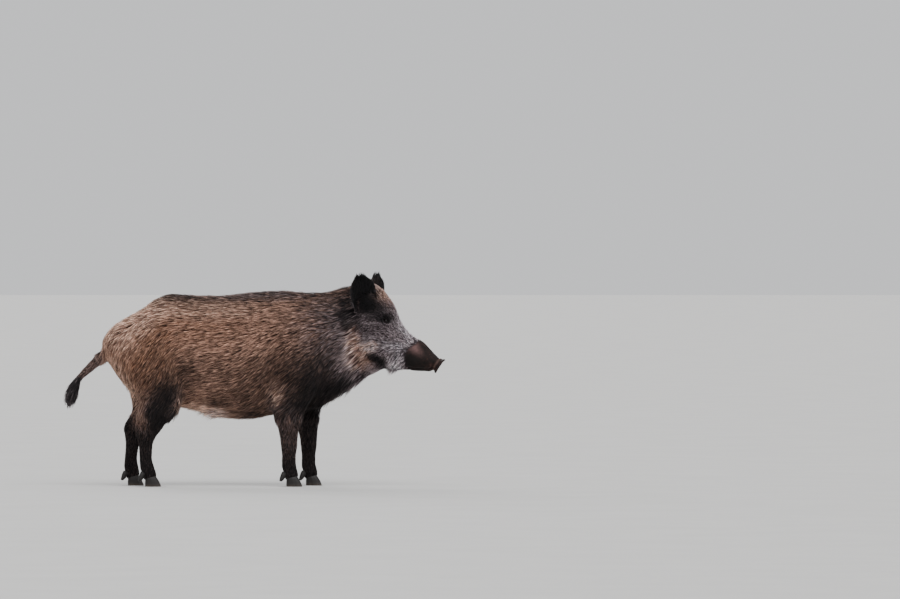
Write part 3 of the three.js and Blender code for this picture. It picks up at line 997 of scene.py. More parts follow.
# ---- eyes
@dataclass(frozen=True)
class EyeSocket:
    """The place of an eye on the straightened head and the shape of its lids."""

    side: int
    centre: Array
    radius: float = 0.0125
    gaze: Spot = (0.36, 0.92, 0.14)
    half_length: float = 0.0104
    half_height: float = 0.0064
    seat: float = 0.0078
    slope: float = math.radians(-24.0)
    lid: float = 0.0013
    upper_lid: float = 0.0010
    swell: float = 0.0012
    crease: float = 0.0013
    bag: float = 0.0008
    fillet: float = 0.0030
    reach: float = 3.0

    def seated(self, surface: Surface) -> "EyeSocket":
        """The socket moved along the gaze to its depth below the skin.

        Args:
            surface: the skin before the lids are made.

        Returns:
            The moved socket.
        """
        out = self.axes()[2]
        far = TURN.place((self.centre + out * 0.08)[None])[0]
        near = TURN.place((self.centre - out * 0.04)[None])[0]
        hit = surface.tree().ray_cast(far.tolist(), unit(near - far).tolist())[0]
        spot = TURN.straighten(np.array([hit]))[0]
        return replace(self, centre=spot - out * self.seat)

    def axes(self) -> tuple[Array, Array, Array]:
        """The eye's own directions.

        Returns:
            Along the slit towards the snout, up across it, and out of the eye.
        """
        out = unit(np.array([self.gaze[0], self.gaze[1] * self.side, self.gaze[2]]))
        level = np.array([math.cos(self.slope), 0.0, math.sin(self.slope)])
        along = unit(level - out * float(level @ out))
        across = np.cross(out, along)
        return along, across if across[2] > 0 else -across, out

    def local(self, straight: Array) -> tuple[Array, Array, Array, Array]:
        """Sees places from the eye.

        Args:
            straight: straightened places.

        Returns:
            Lengths along, across and out, and the distance in sizes of the slit.
        """
        u, v, w = ((straight - self.centre) @ axis for axis in self.axes())
        pointed = 1.0 + 0.35 * (u / self.half_length) ** 2
        shape = np.sqrt((u / self.half_length) ** 2 + (v * pointed / self.half_height) ** 2)
        return u, v, w, shape

    def near(self, straight: Array, distance: float) -> Array:
        """Which places lie within a distance of the eye, on its outer side."""
        close = np.linalg.norm(straight - self.centre, axis=1) < distance
        return close & (self.local(straight)[2] > -0.03)

    def shape(self, straight: Array) -> Array:
        """Moves the skin round the eye into lids.

        Args:
            straight: straightened places of the skin.

        Returns:
            The moved places.
        """
        along, across, out = self.axes()
        moved = straight.copy()
        pick = np.flatnonzero(self.near(straight, 0.045))
        u, v, w, d = (values[pick] for values in self.local(straight))
        edge = np.abs(d - 1.0) < 0.13
        pull = np.where(edge, 1.0 / np.maximum(d, 1e-3), 1.0)
        u, v = u * pull, v * pull
        d = np.where(edge, 1.0, d)
        upper = ease(v, -0.002, 0.003)
        lid = self.lid + self.upper_lid * upper
        dome = np.sqrt(np.maximum((self.radius + lid) ** 2 - u**2 - v**2, 0.0))
        swell = self.swell * bell(d, 1.30, 0.22) * (0.6 + 0.8 * upper)
        crease = self.crease * bell(d, 1.85, 0.16)
        crease += self.bag * bell(d, 2.35, 0.14) * (1.0 - upper)
        over = dome + swell
        merging = 0.5 * (over + w + np.sqrt((over - w) ** 2 + self.fillet**2))
        blend = ease(d, 1.6, self.reach)
        lids = merging * (1.0 - blend) + w * blend - crease
        ball = np.sqrt(np.maximum((self.radius - 0.0035) ** 2 - u**2 - v**2, 0.0))
        height = np.where(d < 0.999, np.minimum(ball, dome - 0.004), lids)
        moved[pick] = self.centre + u[:, None] * along + v[:, None] * across + height[:, None] * out
        return moved


@dataclass(frozen=True)
class EyeFinish:
    """A wet dark brown eye: a round pupil, a fibrous iris and a dark rim."""

    pupil: Colour = linear(5, 4, 4)
    iris: Colour = linear(16, 11, 9)
    iris_light: Colour = linear(23, 15, 11)
    rim: Colour = linear(10, 7, 6)
    white: Colour = linear(22, 15, 13)

    def material(self) -> Material:
        """Builds the material, which reads the angle from the eye's axis.

        Returns:
            The material.
        """
        nodes = Nodes("eye_wet")
        fibres = nodes.add("TexNoise", Scale=900.0, Detail=3.0, Roughness=0.6).outputs["Fac"]
        angle = nodes.maths("MULTIPLY_ADD", fibres, 0.10, nodes.attribute("off_axis"))
        stops = (
            (0.00, self.pupil),
            (0.20, self.pupil),
            (0.26, self.iris),
            (0.52, self.iris_light),
            (0.62, self.rim),
            (0.76, self.white),
            (1.00, self.white),
        )
        colour = nodes.ramp(angle, stops)
        film = {"Coat_Weight": 0.15, "Coat_Roughness": 0.04, "Specular_IOR_Level": 0.12}
        return nodes.surface(Base_Color=colour, Roughness=0.10, **film)


@dataclass(frozen=True)
class Eye:
    """One eyeball with its bulging cornea."""

    socket: EyeSocket
    name: str
    node: str
    bulge: float = 0.0009
    cornea: float = 0.62

    def build(self, finish: Material) -> Piece:
        """Makes the eyeball and lets it stand for its solid.

        Args:
            finish: the eye's material.

        Returns:
            The finished piece.
        """
        out = self.socket.axes()[2]
        ball = bmesh.new()
        bmesh.ops.create_icosphere(ball, subdivisions=5, radius=self.socket.radius)
        mesh = bpy.data.meshes.new(self.name)
        ball.to_mesh(mesh)
        ball.free()
        points = Surface.of(mesh).points
        off_axis = np.arccos(np.clip(unit(points) @ out, -1.0, 1.0))
        bulge = self.bulge * np.clip(1.0 - (off_axis / self.cornea) ** 2, 0.0, 1.0)
        points = points + unit(points) * bulge[:, None]
        mesh.polygons.foreach_set("use_smooth", np.ones(len(mesh.polygons), bool))
        put_attribute(mesh, "off_axis", off_axis / 1.05)
        mesh.materials.append(finish)
        put_points(mesh, TURN.place(points + self.socket.centre))
        piece = shown(self.name, mesh)
        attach(piece, "root")
        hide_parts(self.node)
        return piece


# ---- material nodes
class Nodes:
    """Builds the node tree of one material."""

    def __init__(self, name: str) -> None:
        """Starts an empty material.

        Args:
            name: the material's name.
        """
        self.material = bpy.data.materials.new(name)
        self.material.use_nodes = True
        self.tree = self.material.node_tree
        self.tree.nodes.clear()
        self.output = self.add("OutputMaterial")

    def add(self, kind: str, **given: object) -> bpy.types.Node:
        """Adds a node.

        Args:
            kind: the node's type, without its first word.
            **given: the node's own settings, and what its sockets take, with _ for a space.

        Returns:
            The node.
        """
        node = self.tree.nodes.new("ShaderNode" + kind)
        for key, value in given.items():
            if hasattr(node, key):
                setattr(node, key, value)
            else:
                self.put(node.inputs[key.replace("_", " ")], value)
        return node

    def put(self, target: Socket, value: object) -> None:
        """Feeds a socket.

        Args:
            target: the socket.
            value: another socket, a number, a vector or a colour.
        """
        if isinstance(value, Socket):
            self.tree.links.new(value, target)
        elif isinstance(value, tuple) and len(target.default_value) > len(value):
            target.default_value = (*value, 1.0)
        else:
            target.default_value = value

    def attribute(self, name: str) -> Socket:
        """A number stored on the mesh."""
        return self.add("Attribute", attribute_name=name).outputs["Fac"]

    def place(self) -> Socket:
        """The place on the piece, in metres."""
        return self.add("TexCoord").outputs["Object"]

    def noise(self, place: Socket, *settings: float) -> Socket:
        """Soft noise from 0 to 1, by its scale, detail and roughness."""
        given = dict(zip(("Scale", "Detail", "Roughness"), settings))
        return self.add("TexNoise", Vector=place, **given).outputs["Fac"]

    def maths(self, operation: str, *values: Socket | float) -> Socket:
        """A calculation.

        Args:
            operation: its kind.
            *values: up to three sockets or numbers.

        Returns:
            The result's socket.
        """
        node = self.add("Math", operation=operation)
        for socket, value in zip(node.inputs, values):
            self.put(socket, value)
        return node.outputs[0]

    def scaled(self, source: Socket, factor: Socket | float, more: Socket | float) -> Socket:
        """A number times a factor, and something added."""
        return self.maths("MULTIPLY_ADD", source, factor, more)

    def times(self, source: Socket, factor: Socket | float) -> Socket:
        """A number times a factor."""
        return self.maths("MULTIPLY", source, factor)

    def ramp(self, source: Socket, stops: tuple[tuple[float, Colour], ...]) -> Socket:
        """A colour that follows a number.

        Args:
            source: the number.
            stops: places from 0 to 1 with their colours.

        Returns:
            The colour's socket.
        """
        node = self.add("ValToRGB", Fac=source)
        elements = node.color_ramp.elements
        while len(elements) < len(stops):
            elements.new(0.5)
        for element, (place, colour) in zip(elements, stops):
            element.position = place
            element.color = (*colour, 1.0)
        return node.outputs["Color"]

    def mix(self, share: Socket | float, first: Socket | Colour, second: Socket | Colour) -> Socket:
        """A mix of two colours.

        Args:
            share: share of the second colour.
            first: the first colour.
            second: the second colour.

        Returns:
            The mixed colour's socket.
        """
        node = self.add("Mix", data_type="RGBA")
        for number, value in zip((0, 6, 7), (share, first, second)):
            self.put(node.inputs[number], value)
        return node.outputs[2]

    def shaded(self, brown: Socket | Colour, others: list[Socket | Colour]) -> Socket:
        """The coat's colour, from the shades stored on the mesh.

        Args:
            brown: the brown of the flanks.
            others: a colour for each shade.

        Returns:
            The colour's socket.
        """
        for shade, colour in zip(Shade, others):
            brown = self.mix(self.attribute(shade.value), brown, colour)
        return brown

    def brightened(self, colour: Socket, factor: Socket) -> Socket:
        """A colour times a number."""
        return self.add("HueSaturation", Color=colour, Value=factor).outputs["Color"]

    def bump(self, height: Socket, distance: float, strength: float, **under: Socket) -> Socket:
        """A relief of a depth in metres, over a coarser one if its Normal is given."""
        node = self.add("Bump", Height=height, Distance=distance, Strength=strength, **under)
        return node.outputs["Normal"]

    def surface(self, **inputs: object) -> Material:
        """Ends with the surface shader, whose sockets are named with _ for a space."""
        self.put(self.output.inputs["Surface"], self.add("BsdfPrincipled", **inputs).outputs[0])
        return self.material


# ---- the skin
@dataclass(frozen=True)
class Swell:
    """A rise or a hollow of the skin, alike on both sides.

    centre and reach are given along, aside and up. slant tips the patch nose up.
    """

    centre: Spot
    reach: Spot
    height: float
    slant: float = 0.0

    def lift(self, straight: Array) -> Array:
        """How far the skin moves outwards.

        Args:
            straight: straightened places.

        Returns:
            One length per place.
        """
        x, z = straight[:, 0] - self.centre[0], straight[:, 2] - self.centre[2]
        along, across = slanted(x, z, self.slant)
        aside = (np.abs(straight[:, 1]) - self.centre[1]) / self.reach[1]
        away = (along / self.reach[0]) ** 2 + aside**2 + (across / self.reach[2]) ** 2
        return self.height * np.exp(-away)


SWELLS: dict[str, Swell] = {
    "brow": Swell((0.548, 0.064, 0.682), (0.03, 0.025, 0.009), 0.004, math.radians(-28)),
    "eye hollow": Swell((0.549, 0.075, 0.66), (0.03, 0.03, 0.02), -0.003),
    "tear pit": Swell((0.59, 0.052, 0.636), (0.024, 0.03, 0.012), -0.0035, math.radians(-35)),
    "cheekbone": Swell((0.5, 0.085, 0.632), (0.05, 0.03, 0.014), 0.0045, math.radians(8)),
    "temple": Swell((0.5, 0.06, 0.69), (0.026, 0.03, 0.024), -0.0035),
    "jowl": Swell((0.445, 0.09, 0.553), (0.045, 0.045, 0.042), 0.0055),
    "jowl fold": Swell((0.388, 0.11, 0.56), (0.014, 0.05, 0.07), -0.0045, math.radians(12)),
    "muzzle hollow": Swell((0.61, 0.048, 0.575), (0.04, 0.025, 0.018), -0.004, math.radians(-30)),
    "muzzle bridge": Swell((0.64, 0.02, 0.6), (0.06, 0.012, 0.02), 0.0025, math.radians(-38)),
    "nose roof": Swell((0.676, 0.0, 0.576), (0.048, 0.045, 0.03), 0.0098, math.radians(-38)),
    "forehead": Swell((0.548, 0.0, 0.722), (0.045, 0.055, 0.03), 0.007, math.radians(-58)),
    "tusk lip": Swell((0.65, 0.046, 0.497), (0.024, 0.025, 0.013), 0.0048, math.radians(-8)),
    "lower lip": Swell((0.6, 0.04, 0.462), (0.05, 0.025, 0.012), 0.002),
    "snout collar": Swell((0.712, 0.03, 0.492), (0.01, 0.04, 0.04), 0.0022, math.radians(-33)),
    "shoulder blade": Swell((0.19, 0.15, 0.61), (0.06, 0.07, 0.11), 0.006, math.radians(-14)),
    "behind the shoulder": Swell((0.06, 0.15, 0.5), (0.045, 0.07, 0.12), -0.006),
    "flank": Swell((-0.27, 0.14, 0.44), (0.06, 0.07, 0.06), -0.008, math.radians(30)),
    "hip": Swell((-0.44, 0.11, 0.64), (0.06, 0.06, 0.05), 0.005),
    "above the hock": Swell((-0.512, 0.09, 0.302), (0.03, 0.08, 0.03), -0.017),
    "stifle": Swell((-0.308, 0.1, 0.305), (0.034, 0.08, 0.034), 0.013),
    "shin": Swell((-0.368, 0.1, 0.225), (0.026, 0.08, 0.036), 0.011),
    "sheath": Swell((-0.15, 0.0, 0.3), (0.036, 0.045, 0.03), 0.009),
    "low belly": Swell((-0.1, 0.0, 0.29), (0.13, 0.12, 0.05), 0.011),
}


@dataclass(frozen=True)
class Mouth:
    """The closed mouth: a groove between two lips on each side of the head."""

    line: tuple[Pair, ...] = (
        (0.727, 0.473), (0.694, 0.469), (0.648, 0.471),
        (0.595, 0.479), (0.557, 0.490), (0.523, 0.506),
    )  # fmt: skip
    half_width: float = 0.0026
    depth: float = 0.0042
    lips: float = 0.0016
    lip_width: float = 0.0042

    def away(self, straight: Array) -> tuple[Array, Array]:
        """Sees places from the line of the mouth.

        Args:
            straight: straightened places.

        Returns:
            Each place's distance to the line seen from the side, and its share along it.
        """
        spot = straight[:, (0, 2)]
        best = np.full(len(spot), 9.0)
        along = np.zeros(len(spot))
        steps = len(self.line) - 1
        for k in range(steps):
            a, b = np.array(self.line[k]), np.array(self.line[k + 1])
            t = np.clip((spot - a) @ (b - a) / ((b - a) @ (b - a)), 0.0, 1.0)
            gap = np.linalg.norm(spot - a - t[:, None] * (b - a), axis=1)
            nearer = gap < best
            best[nearer] = gap[nearer]
            along[nearer] = (k + t[nearer]) / steps
        return best, along

    def lift(self, straight: Array) -> Array:
        """How far the skin moves outwards for the groove and the lips.

        Args:
            straight: straightened places.

        Returns:
            One length per place.
        """
        gap, along = self.away(straight)
        groove = self.depth * bell(gap, 0.0, self.half_width)
        lips = self.lips * bell(gap, 3.0 * self.half_width, self.lip_width)
        return ease(1.0 - along, 0.0, 0.12) * (lips - groove)


@dataclass
class Skin:
    """The one skin that stands for every node of flesh."""

    flesh: FleshNodes
    ears: tuple[Ear, ...]
    sockets: tuple[EyeSocket, ...]
    markings: Markings = field(default_factory=Markings)
    mouth: Mouth = field(default_factory=Mouth)
    overlap: float = 0.0012
    bare_depth: float = 0.0004
    voxel: float = 0.0072
    wrinkle: float = 0.0006
    wrinkle_step: float = 0.0082
    collar: float = 0.0030
    head_from: float = 0.405
    disc_from: float = 0.695
    mouth_net: float = 0.011
    eye_nets: Pair = (0.036, 0.022)
    mesh: Mesh | None = None
    surface: Surface | None = None
    straight: Array | None = None
    parts: Array | None = None

    def is_part(self, *parts: Part) -> Array:
        """Which points of the skin belong to any of the parts."""
        return np.isin(self.parts, [part.number for part in parts])

    def cast(self) -> None:
        """Melts the solids of flesh into one smooth closed surface inside them."""
        mesh = quiet_mesh("cast", *self.flesh.swollen(self.overlap, Part.EAR))
        mesh = modified(mesh, "REMESH", mode="VOXEL", voxel_size=self.voxel, adaptivity=0.0)
        self.mesh = self.outer_shell(mesh)
        self.read()
        fine = self.is_part(Part.HEAD, Part.JAW, Part.FOOT, Part.TAIL, Part.TUFT)
        slim = self.is_part(Part.FOREARM, Part.SHANK)
        keep = self.surface.spread(np.where(fine, 0.25, np.where(slim, 0.55, 1.0)), 12)
        self.surface.smooth(46, keep, RELAX)
        depths = np.array([GROWTHS[part].depth for part in Part])[self.parts]
        depths = self.surface.spread(depths, 40)
        bare = self.markings.bare(self.straight, self.parts) * self.is_part(Part.HEAD, Part.JAW)
        bare = self.surface.spread(bare, 3)
        depths = depths * (1.0 - bare) + self.bare_depth * bare
        self.write(self.surface.points)
        self.surface.points -= self.surface.normals * (depths + self.overlap)[:, None]
        self.surface.smooth(4, np.where(fine, 0.3 * (1.0 - bare), 1.0), SETTLE)
        self.write(self.surface.points)

    def outer_shell(self, mesh: Mesh) -> Mesh:
        """Keeps only the connected shell that holds the foremost point.

        Args:
            mesh: the mesh to clean.

        Returns:
            The same mesh.
        """
        surface = Surface.of(mesh)
        a, b = surface.edges.T
        reached = np.zeros(len(surface.points), bool)
        reached[np.argmax(surface.points[:, 0])] = True
        count = 0
        while reached.sum() != count:
            count = reached.sum()
            for _ in range(8):
                touch = reached[a] | reached[b]
                reached[a[touch]] = True
                reached[b[touch]] = True
        if not reached.all():
            shell = bmesh.new()
            shell.from_mesh(mesh)
            spare = [v for v, kept in zip(shell.verts, reached.tolist()) if not kept]
            bmesh.ops.delete(shell, geom=spare, context="VERTS")
            shell.to_mesh(mesh)
            shell.free()
        return mesh

    def read(self) -> None:
        """Reads the mesh again after its faces changed."""
        self.surface = Surface.of(self.mesh)
        self.straight = TURN.straighten(self.surface.points)
        self.parts = self.flesh.nearest(self.surface.points)

    def write(self, points: Array) -> None:
        """Moves the mesh's points and reads its normals again.

        Args:
            points: the new places.
        """
        put_points(self.mesh, points)
        self.surface = Surface.of(self.mesh)
        self.straight = TURN.straighten(self.surface.points)

    def join_ears_and_disc(self) -> None:
        """Unites the skin with the finer shells of the ears and the snout's disc."""
        old = self.surface.tree()
        feet = []
        for shell in [ear.mesh() for ear in self.ears] + [SnoutDisc().mesh()]:
            tool = shown("tool", shell)
            settings = {"operation": "UNION", "solver": "MANIFOLD", "object": tool}
            self.mesh = modified(self.mesh, "BOOLEAN", **settings)
            feet.append(Surface.of(shell))
            bpy.data.objects.remove(tool)
        self.read()
        for foot, reach in zip(feet, (0.007, 0.007, 0.0015)):
            tree = foot.tree()
            away = np.linalg.norm(self.surface.points - foot.points.mean(0), axis=1)
            share = np.zeros(len(away))
            for i in np.flatnonzero(away < 0.14).tolist():
                place = self.surface.points[i].tolist()
                to_foot, to_skin = tree.find_nearest(place)[3], old.find_nearest(place)[3]
                share[i] = math.exp(-(to_foot**2 + to_skin**2) / reach**2)
            self.surface.smooth(10, share, SETTLE)
        self.write(self.surface.points)

    def refine(self, chosen: Array) -> None:
        """Splits every edge between chosen points and smooths what comes of it.

        Args:
            chosen: whether each point is chosen.
        """
        shell = bmesh.new()
        shell.from_mesh(self.mesh)
        flags = chosen.tolist()
        edges = [e for e in shell.edges if flags[e.verts[0].index] and flags[e.verts[1].index]]
        bmesh.ops.subdivide_edges(shell, edges=edges, cuts=1, use_grid_fill=True)
        shell.verts.index_update()
        shell.to_mesh(self.mesh)
        shell.free()
        self.mesh.update()
        self.read()
        share = np.ones(len(self.surface.points))
        share[: len(chosen)] = chosen
        share[self.is_part(Part.EAR, Part.DISC)] = 0.0
        self.surface.smooth(3, share, RELAX)
        self.write(self.surface.points)

    def by_the_eyes(self, distance: float) -> Array:
        """Which points lie within a distance of either eye."""
        return np.any([socket.near(self.straight, distance) for socket in self.sockets], 0)

    def refine_head(self) -> None:
        """Gives the head the finer net that its folds need, and the lids the finest."""
        smooth = ~self.is_part(Part.EAR, Part.DISC)
        self.refine((self.straight[:, 0] > self.head_from) & smooth)
        smooth = ~self.is_part(Part.EAR, Part.DISC)
        mouth = self.mouth.away(self.straight)[0] < self.mouth_net
        disc = self.straight[:, 0] > self.disc_from
        self.refine((self.by_the_eyes(self.eye_nets[0]) | mouth | disc) & smooth)
        self.refine(self.by_the_eyes(self.eye_nets[1]))

    def sculpt(self) -> None:
        """Raises and sinks the skin into its folds, lips, wrinkles and lids."""
        flesh = (~self.is_part(Part.EAR, Part.DISC, Part.TUFT)).astype(float)
        lift = sum(swell.lift(self.straight) for swell in SWELLS.values())
        lift = lift + self.mouth.lift(self.straight) * ease(self.straight[:, 0], 0.50, 0.53)
        lift = (lift + self.wrinkles()) * self.surface.spread(flesh, 3)
        straight = TURN.straighten(self.surface.points + self.surface.normals * lift[:, None])
        for socket in self.sockets:
            straight = socket.shape(straight)
        self.write(TURN.place(straight))

    def wrinkles(self) -> Array:
        """Fine folds across the bare snout, and the hollow behind its disc.

        Returns:
            How far the skin moves outwards at each point.
        """
        x, y, z = self.straight.T
        ahead = (x - 0.748) * 0.832 - (z - 0.480) * 0.555
        sway = 0.0016 * np.sin(z * 160.0 + 1.3) + 0.0012 * np.sin(np.abs(y) * 210.0)
        rings = np.sin((ahead + sway) * 2.0 * math.pi / self.wrinkle_step)
        near = within(ahead, -0.058, -0.022, 0.012)
        top = 0.45 + 0.55 * ease(z, 0.480, 0.530)
        return self.wrinkle * rings * near * top - self.collar * bell(ahead, -0.017, 0.0055)

    def build(self, finish: Material) -> Piece:
        """Makes the whole skin.

        Args:
            finish: the skin's material.

        Returns:
            The finished piece.
        """
        self.cast()
        log.info("skin cast with %d points", len(self.surface.points))
        self.sockets = tuple(socket.seated(self.surface) for socket in self.sockets)
        self.join_ears_and_disc()
        self.refine_head()
        self.sculpt()
        self.parts = self.flesh.nearest(self.surface.points)
        layers = {shade.value: weights for shade, weights in self.shades().items()}
        layers |= {"bare": self.bareness(), "lids": self.lid_rims()}
        for name, patch in SNOUT_TONES.items():
            layers[name] = patch.weight(self.straight, self.surface.normals)
        for name, weights in layers.items():
            put_attribute(self.mesh, name, weights)
        self.mesh.name = "skin"
        self.mesh.polygons.foreach_set("use_smooth", np.ones(len(self.mesh.polygons), bool))
        self.mesh.materials.clear()
        self.mesh.materials.append(finish)
        piece = shown("skin", self.mesh)
        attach(piece, "root")
        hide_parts(*self.flesh.names)
        return piece

    def straight_normals(self) -> Array:
        """Directions that the skin faces on the straightened animal."""
        return TURN.swing(self.straight, self.surface.normals, -1)

    def shades(self) -> dict[Shade, Array]:
        """Weights of the hair's shades at every point of the skin."""
        found = self.markings.shades(self.straight, self.straight_normals(), self.parts)
        return {shade: self.surface.spread(weights, 4) for shade, weights in found.items()}

    def bareness(self) -> Array:
        """Finds where the skin carries no hair.

        Returns:
            Weights from 0 to 1.
        """
        bare = self.markings.bare(self.straight, self.parts)
        bare = np.where(self.is_part(Part.HEAD, Part.JAW, Part.DISC), bare, 0.0)
        return np.maximum(self.surface.spread(bare, 3), self.lid_rims())

    def lid_rims(self) -> Array:
        """Finds the bare dark rims of the lids.

        Returns:
            Weights from 0 to 1.
        """
        rims = np.zeros(len(self.straight))
        for socket in self.sockets:
            shape = socket.local(self.straight)[3]
            near = socket.near(self.straight, 0.030)
            rims = np.maximum(rims, near * (1.0 - ease(shape, 1.12, 1.45)))
        return rims


@dataclass(frozen=True)
class SkinFinish:
    """The skin: hairy ground in the coat's own shades, and the bare leather of the snout, with a painted
    sheen on its top and painted shade below.
    """

    brown: Colour = linear(56, 38, 31)
    grey: Colour = linear(46, 37, 39)
    rust: Colour = linear(66, 42, 31)
    pale: Colour = linear(98, 74, 64)
    silver: Colour = linear(70, 63, 66)
    black: Colour = linear(14, 12, 13)
    leather: Colour = linear(33, 20, 18)
    leather_dark: Colour = linear(13, 8, 6)
    leather_light: Colour = linear(62, 40, 35)
    # ruddy leather with a painted sheen, on the top of the snout
    ruddy: Colour = linear(128, 97, 95)
    collar: Colour = linear(120, 94, 86)
    # painted shade of the lower snout
    dusk: Colour = linear(6, 4, 3)
    lid: Colour = linear(16, 12, 12)

    def material(self) -> Material:
        """Builds the material.

        Returns:
            The material.
        """
        nodes = Nodes("boar_skin")
        place = nodes.place()
        fuzz = nodes.noise(place, 520.0, 4.0, 0.65)
        cloud = nodes.noise(place, 38.0, 3.0, 0.6)
        blots = nodes.noise(place, 55.0, 5.0, 0.7)
        pores = nodes.add("TexVoronoi", Vector=place, Scale=620.0).outputs["Distance"]
        bare = nodes.attribute("bare")
        others = [self.grey, self.rust, self.pale, self.silver, self.black]
        ground = nodes.shaded(self.brown, others)
        ground = nodes.brightened(ground, nodes.scaled(fuzz, 1.0, 0.45))
        stops = ((0.34, self.leather_dark), (0.55, self.leather), (0.74, self.leather_light))
        mottle = nodes.ramp(blots, stops)
        # ruddy leather and painted sheen on the top of the snout
        ruddy = nodes.times(nodes.times(nodes.attribute("ruddy"), blots), 1.4)
        mottle = nodes.mix(ruddy, mottle, self.ruddy)
        mottle = nodes.mix(nodes.times(nodes.attribute("collar"), blots), mottle, self.collar)
        # painted shade darkens the lower snout
        mottle = nodes.mix(nodes.times(nodes.attribute("dusk"), 0.8), mottle, self.dusk)
        colour = nodes.mix(nodes.attribute("lids"), nodes.mix(bare, ground, mottle), self.lid)
        rough = nodes.scaled(cloud, 0.14, nodes.scaled(bare, -0.26, 0.86))
        fur = nodes.times(fuzz, nodes.maths("SUBTRACT", 1.0, bare))
        relief = nodes.bump(fur, 0.0022, 0.9)
        relief = nodes.bump(nodes.times(pores, bare), 0.0007, 0.8, Normal=relief)
        relief = nodes.bump(blots, 0.0012, 0.35, Normal=relief)
        return nodes.surface(
            Base_Color=colour, Roughness=rough, Normal=relief, Specular_IOR_Level=0.18
        )


# ---- the coat
@dataclass(frozen=True)
class Tress:
    """A place where the coat grows otherwise than its part's growth says.

    centre and reach are given along, aside and up. free is how far the tips leave the
    skin, and the other values are factors on the tufts' length, depth, number and width.
    """

    centre: Spot
    reach: Spot
    length: float = 1.0
    depth: float = 1.0
    number: float = 1.0
    width: float = 1.0
    free: float = 0.0

    def weight(self, straight: Array) -> Array:
        """Finds how much places belong to it.

        Args:
            straight: straightened places.

        Returns:
            Weights from 0 to 1.
        """
        away = (straight - np.array(self.centre)) * np.array([1.0, 0.0, 1.0])
        away[:, 1] = np.abs(straight[:, 1]) - self.centre[1]
        return np.exp(-((away / np.array(self.reach)) ** 2).sum(1))


TRESSES: dict[str, Tress] = {
    "crest": Tress((-0.06, 0.0, 0.78), (0.33, 0.032, 0.05), 1.45, 1.3, 1.25, 1.0, 0.35),
    "nape": Tress((0.33, 0.0, 0.79), (0.12, 0.035, 0.05), 1.3, 1.2, 1.2, 1.0, 0.3),
    "cheek": Tress((0.452, 0.095, 0.545), (0.04, 0.06, 0.035), 1.8, 1.8, 0.8, 1.3, 0.2),
    "face": Tress((0.53, 0.08, 0.59), (0.07, 0.06, 0.05), 1.35, 1.2, 0.7, 1.5),
    "beard": Tress((0.5, 0.05, 0.475), (0.06, 0.06, 0.025), 1.6, 1.4, 1.0, 1.2, 0.4),
    "chin": Tress((0.572, 0.02, 0.472), (0.018, 0.034, 0.012), 2.0, 1.8, 1.1, 1.3, 0.9),
    "upper lip": Tress((0.586, 0.05, 0.508), (0.034, 0.04, 0.028), 2.4, 2.0, 0.48, 2.2, 0.36),
    "muzzle": Tress((0.64, 0.03, 0.585), (0.04, 0.05, 0.03), 0.85, 0.8, 0.85, 1.35),
    "eye": Tress((0.545, 0.078, 0.658), (0.022, 0.03, 0.018), 0.5, 0.45, 1.3),
    "brow": Tress((0.54, 0.07, 0.688), (0.022, 0.02, 0.009), 1.2, 1.3, 1.2, 1.1, 0.35),
    "forehead": Tress((0.49, 0.0, 0.745), (0.055, 0.06, 0.05), 1.8, 1.7, 0.66, 1.75, 0.25),
    "between the ears": Tress((0.445, 0.0, 0.785), (0.035, 0.04, 0.03), 2.0, 2.1, 1.1, 1.3, 0.5),
    "elbow": Tress((0.09, 0.1, 0.375), (0.03, 0.06, 0.05), 1.25, 1.2, 1.2, 1.0, 0.4),
    "belly": Tress((-0.08, 0.0, 0.29), (0.24, 0.1, 0.04), 1.2, 1.2, 1.0, 1.0, 0.3),
    "sheath": Tress((-0.15, 0.0, 0.3), (0.04, 0.06, 0.03), 0.8, 1.0, 1.2, 1.2, 0.55),
    "flank fold": Tress((-0.215, 0.08, 0.315), (0.05, 0.08, 0.03), 1.2, 1.3, 1.0, 1.0, 0.4),
    "thigh front": Tress((-0.3, 0.11, 0.325), (0.03, 0.07, 0.05), 1.2, 1.2, 1.1, 1.0, 0.75),
    "haunch rear": Tress((-0.52, 0.06, 0.42), (0.044, 0.07, 0.11), 1.15, 1.0, 1.1, 1.0, 0.85),
    "throat": Tress((0.39, 0.0, 0.44), (0.075, 0.08, 0.045), 1.45, 2.2, 1.0, 1.0, 0.42),
    "chest": Tress((0.29, 0.0, 0.37), (0.07, 0.08, 0.06), 1.2, 1.1, 1.0, 1.1, 0.65),
    "tail root": Tress((-0.59, 0.0, 0.56), (0.036, 0.04, 0.036), 1.2, 0.9, 1.2, 1.0, 0.55),
    "tail tip": Tress((-0.715, 0.0, 0.41), (0.06, 0.06, 0.07), 1.0, 1.25, 1.0, 1.0, 0.75),
    "coronets": Tress((0.0, 0.0, 0.05), (9.0, 9.0, 0.012), 1.2, 2.2, 1.2, 1.0, 0.5),
}


